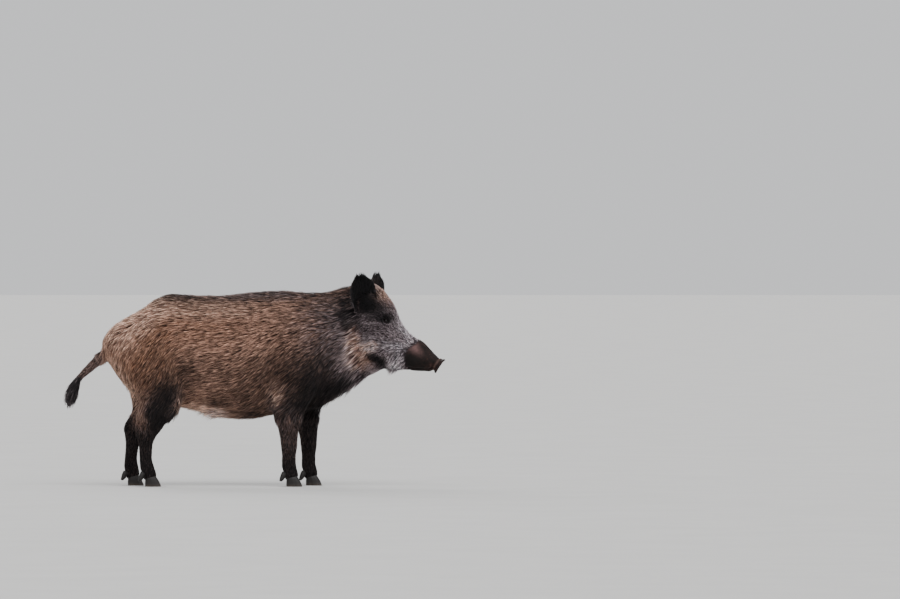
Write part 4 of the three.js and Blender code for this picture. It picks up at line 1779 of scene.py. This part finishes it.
@dataclass
class Ground:
    """All that the coat needs to know at every point of the skin."""

    skin: Skin
    swirl: float = 0.08
    stray: float = 0.08
    rim_length: float = 0.60
    rim_width: float = 0.60
    rim_thinning: float = 0.35
    rim_free: float = 0.9
    flow: Array | None = None
    depth: Array | None = None
    length: Array | None = None
    width: Array | None = None
    curl: Array | None = None
    number: Array | None = None
    free: Array | None = None
    shades: dict[Shade, Array] = field(default_factory=dict)

    def survey(self) -> None:
        """Works out the lie and the growth of the coat over the whole skin."""
        skin, surface = self.skin, self.skin.surface
        self.shades = skin.shades()
        self.flow = self.lie()
        rounds = {"depth": 14, "length": 14, "width": 14, "curl": 14, "number": 4}
        for name, times in rounds.items():
            values = np.array([getattr(GROWTHS[part], name) for part in Part])
            setattr(self, name, surface.spread(values[skin.parts], times))
        self.free = np.full(len(surface.points), self.stray)
        for tress in TRESSES.values():
            weight = tress.weight(skin.straight)
            weight[skin.is_part(Part.EAR)] = 0.0
            self.length *= 1.0 + (tress.length - 1.0) * weight
            self.depth *= 1.0 + (tress.depth - 1.0) * weight
            self.number *= 1.0 + (tress.number - 1.0) * weight
            self.width *= 1.0 + (tress.width - 1.0) * weight
            self.free += tress.free * weight
        left, right = (ear.rim(skin.straight) for ear in skin.ears)
        rim = np.where(skin.straight[:, 1] < 0.0, right, left) * skin.is_part(Part.EAR)
        self.length *= 1.0 + self.rim_length * rim
        self.width *= 1.0 + self.rim_width * rim
        self.number *= 1.0 - self.rim_thinning * rim
        self.free = np.minimum(self.free + self.rim_free * rim, 1.0)
        bare = skin.bareness()
        self.number *= 1.0 - ease(bare, 0.30, 0.95)
        self.length *= 1.0 - 0.5 * ease(bare, 0.0, 0.7)
        self.number[skin.is_part(Part.DISC)] = 0.0

    def lie(self) -> Array:
        """Lays the hair's direction flat on the skin and smooths it.

        Returns:
            One direction per point.
        """
        skin, surface = self.skin, self.skin.surface
        straight = skin.straight
        left, right = (ear.hair_way(straight) for ear in skin.ears)
        on_ear = np.where(straight[:, 1:2] < 0.0, right, left)
        way = Lie().direction(straight, skin.straight_normals(), skin.parts, on_ear)
        way = self.flat(TURN.swing(straight, way))
        way = self.flat(surface.spread(way, 10))
        x, y, z = straight.T
        angle = np.sin(x * 31.0 + 2.0 * np.sin(z * 23.0) + 1.0) * np.sin(z * 37.0 + np.abs(y) * 19.0)
        angle += 0.7 * np.sin(x * 71.0 - z * 53.0 + np.abs(y) * 41.0 + 2.0)
        calm = 1.0 - 0.75 * skin.is_part(Part.HEAD, Part.JAW, Part.EAR, Part.FOOT, Part.TAIL)
        angle = self.swirl * angle * surface.spread(calm, 8)
        aside = np.cross(surface.normals, way)
        return self.flat(way * np.cos(angle)[:, None] + aside * np.sin(angle)[:, None])

    def flat(self, vectors: Array) -> Array:
        """Vectors laid along the skin, each of length one."""
        normals = self.skin.surface.normals
        return unit(vectors - normals * (vectors * normals).sum(1, keepdims=True))


@dataclass
class Roots:
    """The places where tufts grow."""

    place: Array
    normal: Array
    corners: Array
    shares: Array
    part: Array
    straight: Array

    def mixed(self, values: Array) -> Array:
        """A value of the skin's points at every root."""
        shares = self.shares if values.ndim == 1 else self.shares[:, :, None]
        return (values[self.corners] * shares).sum(1)


@dataclass
class Tufts:
    """Every tuft of the coat, from its root to its tip."""

    ground: Ground
    total: int = 108000
    seed: int = 20
    steps: tuple[float, ...] = (0.0, 0.36, 0.72, 1.0)
    rise: tuple[float, ...] = (0.0, 0.50, 0.86, 1.0)
    taper: tuple[float, ...] = (0.60, 1.00, 0.66)
    short_taper: tuple[float, ...] = (0.70, 0.90)
    flatness: float = 0.42
    sunk: float = 0.0020
    lock: float = 0.0050
    gather: float = 0.55
    gather_curve: float = 1.3
    length_mix: Spot = (0.72, 0.36, 0.22)
    depth_mix: Spot = (0.50, 0.22, 0.34)
    waves: float = 5.2
    wander: float = 0.10
    hang: float = 0.9
    lowest: float = 0.0015
    grizzle: float = 2.9
    sparkle: float = 1.2
    roots: Roots | None = None
    rng: np.random.Generator | None = None
    line: Array | None = None
    upright: Array | None = None
    width: Array | None = None
    tone: Array | None = None
    spark: Array | None = None
    seen: dict[Shade, Array] = field(default_factory=dict)

    def sow(self) -> None:
        """Spreads the roots over the skin by how densely each place grows."""
        self.rng = np.random.default_rng(self.seed)
        surface = self.ground.skin.surface
        p, t = surface.points, surface.triangles
        area = 0.5 * np.linalg.norm(crossed(p, t), axis=1)
        reached = np.cumsum(area * self.ground.number[t].mean(1))
        log.info("the skin would take %d tufts on %.2f square metres", reached[-1], area.sum())
        count = min(self.total, int(reached[-1]))
        pick = (np.arange(count) + self.rng.random(count)) * reached[-1] / count
        chosen = np.minimum(np.searchsorted(reached, pick), len(t) - 1)
        a, b = self.rng.random((2, count))
        root = np.sqrt(a)
        shares = np.stack([1.0 - root, root * (1.0 - b), root * b], 1)
        corners = t[chosen]
        place = (p[corners] * shares[:, :, None]).sum(1)
        normal = unit((surface.normals[corners] * shares[:, :, None]).sum(1))
        part = self.ground.skin.parts[corners[:, 0]]
        self.roots = Roots(place, normal, corners, shares, part, TURN.straighten(place))

    def comb(self) -> None:
        """Leads each tuft's middle line along the skin, and gathers tufts into locks."""
        roots, ground = self.roots, self.ground
        surface = ground.skin.surface
        count = len(roots.place)
        tree = surface.tree()
        face_flow = unit(ground.flow[surface.triangles].sum(1))
        face_up = unit(surface.normals[surface.triangles].sum(1))
        leader = self.leaders()
        own = self.rng.random((count, 4))
        shared = self.rng.random((count, 4))[leader]
        length = self.varied(ground.length, self.length_mix, own[:, 0], shared[:, 0])
        depth = self.varied(ground.depth, self.depth_mix, own[:, 1], shared[:, 1])
        curl = roots.mixed(ground.curl)
        free = (roots.mixed(ground.free) * (0.5 + own[:, 1]))[:, None]
        phase = 2.0 * math.pi * (shared[:, 2] + 0.16 * own[:, 2])
        place, up = roots.place, roots.normal
        way = unit(roots.mixed(ground.flow))
        line, uprights, under = [place - up * self.sunk], [up], []
        for k in range(1, len(self.steps)):
            stride = (self.steps[k] - self.steps[k - 1]) * length
            bend = curl * np.sin(phase + self.waves * self.steps[k])
            bend = bend + self.wander * (own[:, 3] - 0.5)
            aside = np.cross(up, way)
            sag = self.hang * free[:, 0] * self.steps[k] * np.clip(-up[:, 2], 0.0, 1.0)
            ahead = unit(way + aside * bend[:, None] + np.array([0.0, 0.0, -1.0]) * sag[:, None])
            target = place + ahead * stride[:, None]
            found = [tree.find_nearest(q)[::2] for q in target.tolist()]
            spot = np.array([spot for spot, _ in found])
            faces = np.array([face for _, face in found])
            loose = np.minimum(free * self.steps[k], 1.0)
            place = spot + (target - spot) * loose
            way = unit(face_flow[faces] * (1.0 - loose) + way * loose)
            up = unit(face_up[faces] * (1.0 - loose) + up * loose)
            under.append(faces)
            line.append(place + up * (depth * self.rise[k])[:, None])
            uprights.append(up)
        middle = np.stack(line, 1)
        pull = self.gather * np.array(self.steps) ** self.gather_curve
        near = np.linalg.norm(middle[leader] - middle, axis=2) < 3.0 * self.lock
        middle += (middle[leader] - middle) * (pull * near)[:, :, None]
        middle[:, :, 2] = np.maximum(middle[:, :, 2], self.lowest)
        self.line, self.upright = middle, np.stack(uprights, 1)
        self.width = roots.mixed(ground.width) * (0.75 + 0.5 * own[:, 2])
        self.tint(surface.triangles[np.stack(under[:2], 1)].reshape(count, -1), own, shared)

    def varied(self, values: Array, mix: Spot, own: Array, shared: Array) -> Array:
        """A value of the skin at every root, varied by tuft and by lock as the mix says."""
        return self.roots.mixed(values) * (mix[0] + mix[1] * own + mix[2] * shared)

    def tint(self, covered: Array, own: Array, shared: Array) -> None:
        """Gives each tuft its shades, its tone and its spark.

        Args:
            covered: numbers of the skin's points under each tuft.
            own: four random numbers of each tuft.
            shared: four random numbers of each tuft's lock.
        """
        tone = 0.55 * shared[:, 3] + 0.45 * own[:, 0]
        self.spark = own[:, 1]
        mixing = np.where(self.roots.part == Part.TAIL.number, 0.3, 1.0) * self.grizzle
        mixed = 0.6 * shared[:, 1] + 0.4 * self.spark
        for number, (shade, values) in enumerate(self.ground.shades.items()):
            weight = values[covered].mean(1)
            scatter = (mixed * (7.3 + 4.7 * number)) % 1.0 - 0.5
            self.seen[shade] = np.clip(weight + mixing * scatter * weight * (1.0 - weight), 0, 1)
        bright = np.maximum(self.seen[Shade.SILVER], 0.7 * self.seen[Shade.PALE])
        self.tone = np.clip(0.5 + (tone - 0.5) * (1.0 + self.sparkle * bright), 0.0, 1.0)
        # the ears' tufts darkened further: real black hair, partly painted shade inside the ears
        self.tone[self.roots.part == Part.EAR.number] *= 0.4

    def leaders(self) -> Array:
        """Chooses the tufts that lead the locks.

        Returns:
            For each tuft, the number of its leader.
        """
        place = self.roots.place
        size = self.lock * np.clip(self.roots.mixed(self.ground.length) / 0.050, 0.60, 1.3)
        per_area = self.roots.mixed(self.ground.number) * self.total / 100000.0
        share = np.clip(1.0 / (size**2 * np.maximum(per_area, 1.0)), 0.02, 1.0)
        numbers = np.flatnonzero(self.rng.random(len(place)) < share)
        tree = KDTree(len(numbers))
        for k, spot in enumerate(place[numbers].tolist()):
            tree.insert(spot, k)
        tree.balance()
        return numbers[np.array([tree.find(spot)[1] for spot in place.tolist()])]

    def grow(self) -> None:
        """Sows and combs the whole coat."""
        self.ground.survey()
        self.sow()
        self.comb()

    def heights(self, short: bool) -> Array:
        """Finds how far along the tuft each of its corners is.

        Args:
            short: whether two rings are enough for its length.

        Returns:
            Shares from 0 to 1.
        """
        if short:
            return np.array([0.0] * 3 + [0.5 * (self.steps[1] + self.steps[2])] * 3 + [1.0])
        return np.repeat(np.array(self.steps), (3, 3, 3, 1))

    def rings(self, chosen: Array, short: bool) -> Array:
        """Corners of the chosen tufts: three on each ring, and the tip.

        Args:
            chosen: numbers of the tufts.
            short: whether two rings are enough for their length.

        Returns:
            Ten places for each tuft, or seven for a short one.
        """
        line, up, width = self.line[chosen], self.upright[chosen], self.width[chosen]
        tapers = self.taper
        if short:
            half_way = 0.5 * (line[:, 1] + line[:, 2])
            line = np.stack([line[:, 0], half_way, line[:, 3]], 1)
            tapers = self.short_taper
        corners = []
        for k, taper in enumerate(tapers):
            tangent = unit(line[:, k + 1] - line[:, max(k - 1, 0)])
            side = unit(np.cross(tangent, up[:, k]))
            over = np.cross(side, tangent)
            half = 0.5 * (width * taper)[:, None]
            corners.append(line[:, k] - side * half)
            corners.append(line[:, k] + side * half)
            corners.append(line[:, k] + over * half * 2.0 * self.flatness)
        corners.append(line[:, -1])
        places = np.stack(corners, 1)
        places[:, :, 2] = np.maximum(places[:, :, 2], self.lowest)
        return places


def tuft_faces(rings: int) -> Array:
    """Triangles of one tuft.

    Args:
        rings: how many rings it has, with three corners each before the tip's one.

    Returns:
        Three corner numbers per triangle.
    """
    faces = [[0, 1, 2]]
    for low in range(0, 3 * rings, 3):
        for p, q in ((low, low + 2), (low + 2, low + 1), (low + 1, low)):
            if low + 3 < 3 * rings:
                faces += [[p, q, q + 3], [p, q + 3, p + 3]]
            else:
                faces.append([p, q, 3 * rings])
    return np.array(faces)


@dataclass(frozen=True)
class CoatPiece:
    """One piece of the coat: the roots that it holds, and how the skin below is unwrapped."""

    name: str
    slot: str
    parts: tuple[Part, ...]
    side: int = 0
    span: Pair = (-1.0, 1.0)
    short: bool = False
    patch: float = 0.003

    def holds(self, roots: Roots) -> Array:
        """Finds the piece's own roots.

        Args:
            roots: all roots.

        Returns:
            Their numbers.
        """
        held = np.isin(roots.part, [part.number for part in self.parts])
        x, y = roots.straight[:, 0], roots.straight[:, 1]
        held &= (x >= self.span[0]) & (x < self.span[1])
        if self.side:
            held &= (y >= 0.0) if self.side > 0 else (y < 0.0)
        return np.flatnonzero(held)

    def unwrapped(self, roots: Roots, chosen: Array) -> Array:
        """Places of the chosen roots on an unwrap of the skin.

        The skin is rolled off round the long axis of the piece's own ground, and an ear's
        two faces lie beside each other.

        Args:
            roots: all roots.
            chosen: numbers of the piece's roots.

        Returns:
            Two numbers from 0.01 to 0.99 for each root.
        """
        places, normals = roots.straight[chosen], roots.normal[chosen]
        middle = places.mean(0)
        if self.side and self.parts[0] in (Part.TRUNK, Part.NECK, Part.HEAD):
            middle[1] = 0.0
        away = places - middle
        axis = np.linalg.svd(away, full_matrices=False)[2][0]
        if self.parts[0] in (Part.TRUNK, Part.NECK):
            axis = np.array([1.0, 0.0, 0.0])
        aside = unit(np.cross(axis, np.array([0.0, 1.0, 0.02])))
        third = np.cross(axis, aside)
        if self.parts[0] is Part.EAR:
            outer = (normals @ aside) > 0.0
            across = away @ third
            turn = (across - across.min()) / np.ptp(across) * 0.96 + outer
        else:
            turn = np.arctan2(away @ aside, (away @ third) * (self.side or 1))
        chart = np.stack([away @ axis, turn], 1)
        return 0.01 + 0.98 * (chart - chart.min(0)) / np.ptp(chart, axis=0)

    def build(self, tufts: Tufts, finish: Material) -> Piece:
        """Makes the piece.

        Args:
            tufts: the whole coat.
            finish: the coat's material.

        Returns:
            The finished piece.
        """
        chosen = self.holds(tufts.roots)
        places = tufts.rings(chosen, self.short)
        count, corners = places.shape[:2]
        pattern = tuft_faces(corners // 3)
        faces = (pattern[None] + (np.arange(count) * corners)[:, None, None]).reshape(-1, 3)
        mesh = quiet_mesh(self.name, places.reshape(-1, 3), faces)
        along = tufts.heights(self.short)
        across = np.array([-1.0, 1.0, 0.0] * (corners // 3) + [0.0])
        put_attribute(mesh, "along", np.tile(along, count))
        put_attribute(mesh, "across", np.tile(across, count))
        layers = {"tone": tufts.tone, "strand": tufts.spark}
        layers |= {shade.value: values for shade, values in tufts.seen.items()}
        for name, values in layers.items():
            put_attribute(mesh, name, np.repeat(values[chosen], corners))
        root = self.unwrapped(tufts.roots, chosen)
        spot = np.stack([0.5 * across, along - 0.5], 1)[pattern] * self.patch
        layer = mesh.uv_layers.new(name="OFBake")
        places = root[:, None, None, :] + spot[None]
        layer.data.foreach_set("uv", places.astype(np.float32).ravel())
        mesh.materials.append(finish)
        piece = shown(self.name, mesh)
        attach(piece, "root")
        return piece


def coat_pieces() -> list[CoatPiece]:
    """Plans all pieces of the coat.

    Returns:
        The tail's piece, and then those of each side.
    """
    whole = (-1.0, 1.0)
    pieces = [CoatPiece("coat_tail", "coat_dark", (Part.TAIL, Part.TUFT))]
    for side, word in ((1, "left"), (-1, "right")):
        for name, slot, parts, span, short in (
            ("rump", "coat_body", (Part.TRUNK,), (-1.0, -0.34), False),
            ("flank", "coat_body", (Part.TRUNK,), (-0.34, -0.06), False),
            ("ribs", "coat_body", (Part.TRUNK,), (-0.06, 1.0), False),
            ("thigh", "coat_body", (Part.THIGH,), whole, False),
            ("shoulder", "coat_body", (Part.SHOULDER,), whole, False),
            ("neck", "coat_body", (Part.NECK,), whole, False),
            ("head", "coat_head", (Part.HEAD, Part.JAW), whole, True),
            ("ear", "coat_dark", (Part.EAR,), whole, True),
            ("foreleg", "coat_dark", (Part.FOREARM, Part.FOOT), (0.0, 1.0), True),
            ("hindleg", "coat_dark", (Part.SHANK, Part.FOOT), (-1.0, 0.0), True),
        ):
            pieces.append(CoatPiece(f"coat_{name}_{word}", slot, parts, side, span, short))
    return pieces


@dataclass(frozen=True)
class HairFinish:
    """The bristles: dark at the root and light at the tip, in six mixed shades."""

    brown: tuple[Colour, ...] = (linear(18, 11, 9), linear(87, 59, 48), linear(210, 166, 144))
    grey: tuple[Colour, ...] = (linear(15, 11, 13), linear(80, 65, 69), linear(206, 188, 192))
    rust: tuple[Colour, ...] = (linear(30, 17, 11), linear(112, 70, 49), linear(192, 140, 106))
    pale: tuple[Colour, ...] = (linear(50, 33, 26), linear(172, 128, 109), linear(250, 214, 192))
    silver: tuple[Colour, ...] = (linear(20, 17, 20), linear(126, 116, 122), linear(252, 245, 249))
    black: tuple[Colour, ...] = (linear(4, 3, 5), linear(10, 8, 10), linear(27, 23, 25))
    stops: Spot = (0.18, 0.55, 0.88)

    def material(self) -> Material:
        """Builds the material.

        Returns:
            The material.
        """
        nodes = Nodes("boar_bristle")
        along, tone = nodes.attribute("along"), nodes.attribute("tone")
        across = nodes.times(nodes.attribute("across"), 2.6)
        strand = nodes.times(nodes.attribute("strand"), 97.0)
        drawn = nodes.add("CombineXYZ", X=across, Y=nodes.times(along, 0.9), Z=strand)
        fibres = nodes.noise(drawn.outputs[0], 1.6, 3.0, 0.7)
        place = nodes.maths("ADD", along, nodes.scaled(tone, 0.34, -0.17))
        place = nodes.scaled(fibres, 0.36, nodes.maths("ADD", place, -0.18))
        shades = (self.brown, self.grey, self.rust, self.pale, self.silver, self.black)
        brown, *others = [nodes.ramp(place, tuple(zip(self.stops, shade))) for shade in shades]
        change = nodes.times(nodes.scaled(tone, 1.25, 0.36), nodes.scaled(fibres, 0.9, 0.55))
        colour = nodes.brightened(nodes.shaded(brown, others), change)
        relief = nodes.bump(fibres, 0.0006, 0.6)
        return nodes.surface(
            Base_Color=colour, Roughness=0.56, Specular_IOR_Level=0.26, Normal=relief
        )


# ---- hooves
@dataclass(frozen=True)
class HornFinish:
    """Dark worn horn, with fibres down the wall and rings round it."""

    dark: Colour = linear(24, 20, 18)
    middle: Colour = linear(46, 39, 35)
    worn: Colour = linear(90, 79, 68)

    def material(self) -> Material:
        """Builds the material.

        Returns:
            The material.
        """
        nodes = Nodes("hoof_horn")
        place = nodes.place()
        drawn = nodes.add("Mapping", Scale=(1.0, 1.0, 0.08), Vector=place)
        fibres = nodes.noise(drawn.outputs[0], 700.0, 3.0, 0.6)
        stains = nodes.noise(place, 60.0, 4.0, 0.6)
        height = nodes.add("SeparateXYZ", Vector=place).outputs["Z"]
        wear = nodes.maths("SUBTRACT", nodes.scaled(height, -42.0, 0.80), 0.35)
        stops = ((0.10, self.dark), (0.55, self.middle), (0.95, self.worn))
        colour = nodes.ramp(nodes.scaled(stains, 0.7, wear), stops)
        colour = nodes.brightened(colour, nodes.scaled(fibres, 0.8, 0.6))
        relief = nodes.bump(fibres, 0.0006, 0.6)
        relief = nodes.bump(stains, 0.0012, 0.35, Normal=relief)
        rough = nodes.scaled(stains, 0.25, 0.38)
        return nodes.surface(
            Base_Color=colour, Roughness=rough, Specular_IOR_Level=0.4, Normal=relief
        )


@dataclass(frozen=True)
class Hooves:
    """The two hooves and two dewclaws of one leg, in finer horn than their solids."""

    leg: str
    voxel: float = 0.0016
    ring_step: float = 0.0052
    ring_height: float = 0.00030
    sole: float = 0.0022

    def nodes(self) -> list[str]:
        """Names of the solids that the piece stands for."""
        kinds = ("hoof_inner", "hoof_outer", "dewclaw_inner", "dewclaw_outer")
        return [f"{self.leg}_{kind}" for kind in kinds]

    def claw(self, node: str) -> tuple[Array, Array]:
        """Makes one claw, rounded and ringed, with a flat sole where it stands.

        Args:
            node: name of its solid.

        Returns:
            Its points and triangles.
        """
        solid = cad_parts[node].data.copy()
        mesh = modified(solid, "REMESH", mode="VOXEL", voxel_size=self.voxel)
        surface = Surface.of(mesh)
        surface.smooth(7, 1.0, RELAX)
        put_points(mesh, surface.points)
        surface = Surface.of(mesh)
        bpy.data.meshes.remove(mesh)
        points, z = surface.points, surface.points[:, 2]
        wall = 1.0 - np.abs(surface.normals[:, 2])
        forward = ease(surface.normals[:, 0], -0.4, 0.5)
        level = z + 0.12 * (points[:, 0] - points[:, 0].mean())
        rings = np.sin(level * 2.0 * math.pi / self.ring_step)
        points += surface.normals * (self.ring_height * rings * wall * forward)[:, None]
        if z.min() < self.sole:
            points[:, 2] = np.where(z < self.sole, 0.0, z)
        return points, surface.triangles

    def build(self, finish: Material) -> Piece:
        """Makes the piece.

        Args:
            finish: the horn's material.

        Returns:
            The finished piece.
        """
        claws = merged([self.claw(node) for node in self.nodes()])
        mesh = quiet_mesh(f"hooves_{self.leg}", *claws)
        mesh.materials.append(finish)
        piece = shown(mesh.name, mesh)
        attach(piece, "root")
        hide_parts(*self.nodes())
        return piece


# ---- studio
@dataclass(frozen=True)
class Studio:
    """A pale floor, soft light and the camera."""

    aim: Spot = (0.7796, 0.0, 0.746)
    rise: float = 0.40
    view_width: float = 3.6
    lens: float = 400.0
    floor_size: float = 160.0
    paint: tuple[Colour, ...] = (linear(193, 192, 190), linear(198, 197, 195))
    air: Colour = linear(232, 233, 235)
    air_strength: float = 0.98

    def floor(self) -> None:
        """Lays the floor."""
        corners = np.array([[-1, -1, 0], [1, -1, 0], [1, 1, 0], [-1, 1, 0]])
        corners = 0.5 * self.floor_size * corners
        mesh = quiet_mesh("studio_floor", corners, np.array([[0, 1, 2, 3]]))
        nodes = Nodes("studio_floor_paint")
        speck = nodes.noise(nodes.place(), 3.0, 4.0)
        paint = nodes.ramp(speck, tuple(zip((0.3, 0.7), self.paint)))
        finish = nodes.surface(Base_Color=paint, Roughness=0.85, Specular_IOR_Level=0.2)
        mesh.materials.append(finish)
        floor = shown("studio_floor", mesh)

    def world(self) -> None:
        """Fills the room with even light."""
        world = bpy.data.worlds.new("studio_air")
        world.use_nodes = True
        sky = world.node_tree.nodes["Background"]
        sky.inputs["Color"].default_value = (*self.air, 1.0)
        sky.inputs["Strength"].default_value = self.air_strength
        bpy.context.scene.world = world

    def lamp(self, name: str, direction: Spot, soft: float, power: float) -> None:
        """Hangs a very far and wide lamp, so that its light is even on the whole floor.

        Args:
            name: the lamp's name.
            direction: where the light comes from.
            soft: width of the lamp as seen from the animal, in degrees.
            power: its strength.
        """
        light = bpy.data.lights.new(name, "SUN")
        light.angle = math.radians(soft)
        light.energy = power
        shown(name, light).rotation_euler = Vector(direction).to_track_quat("Z", "Y").to_euler()

    def camera(self) -> None:
        """Sets the camera far to the animal's right, a little above its middle."""
        data = bpy.data.cameras.new("camera")
        data.sensor_width = 36.0
        data.lens = self.lens
        data.clip_end = 400.0
        camera = shown("camera", data)
        distance = self.view_width * self.lens / data.sensor_width
        camera.location = (self.aim[0], self.aim[1] - distance, self.aim[2] + self.rise)
        towards = Vector(self.aim) - camera.location
        camera.rotation_euler = towards.to_track_quat("-Z", "Y").to_euler()
        bpy.context.scene.camera = camera

    def build(self) -> None:
        """Sets up the whole studio."""
        self.floor()
        self.world()
        self.lamp("key", (0.25, -0.75, 1.0), 50.0, 2.3)
        self.lamp("rim", (-0.4, 0.9, 0.55), 40.0, 1.5)
        self.camera()


# ---- putting it together
def report(piece: Piece) -> None:
    """Logs a finished piece."""
    log.info("%s with %d faces", piece.name, len(piece.data.polygons))


def main() -> None:
    """Builds the animal and its studio."""
    logging.basicConfig(level=logging.INFO, format="%(name)s: %(message)s")
    flesh = FleshNodes()
    flesh.gather()
    near = {"length": 0.147, "width": 0.056, "form": (0.68, 1.45, 1.58, 14.0)}
    ears = (
        Ear(1, (0.4656, 0.062, 0.694), 50.0, 0.0),
        Ear(-1, (0.4586, -0.062, 0.696), 62.0, 8.0, **near),
    )
    sockets = tuple(EyeSocket(side, np.array([0.5446, side * 0.069, 0.663])) for side in (1, -1))
    skin = Skin(flesh, ears, sockets)
    report(skin.build(SkinFinish().material()))
    eye_finish = EyeFinish().material()
    for socket, name in zip(skin.sockets, ("eye_left", "eye_right")):
        report(Eye(socket, name + "_ball", name).build(eye_finish))
    horn = HornFinish().material()
    for leg in ("fore_left", "fore_right", "hind_left", "hind_right"):
        report(Hooves(leg).build(horn))
    tufts = Tufts(Ground(skin))
    tufts.grow()
    bristle = HairFinish().material()
    for plan in coat_pieces():
        report(plan.build(tufts, bristle))
    Studio().build()


if __name__ == "__main__":
    main()
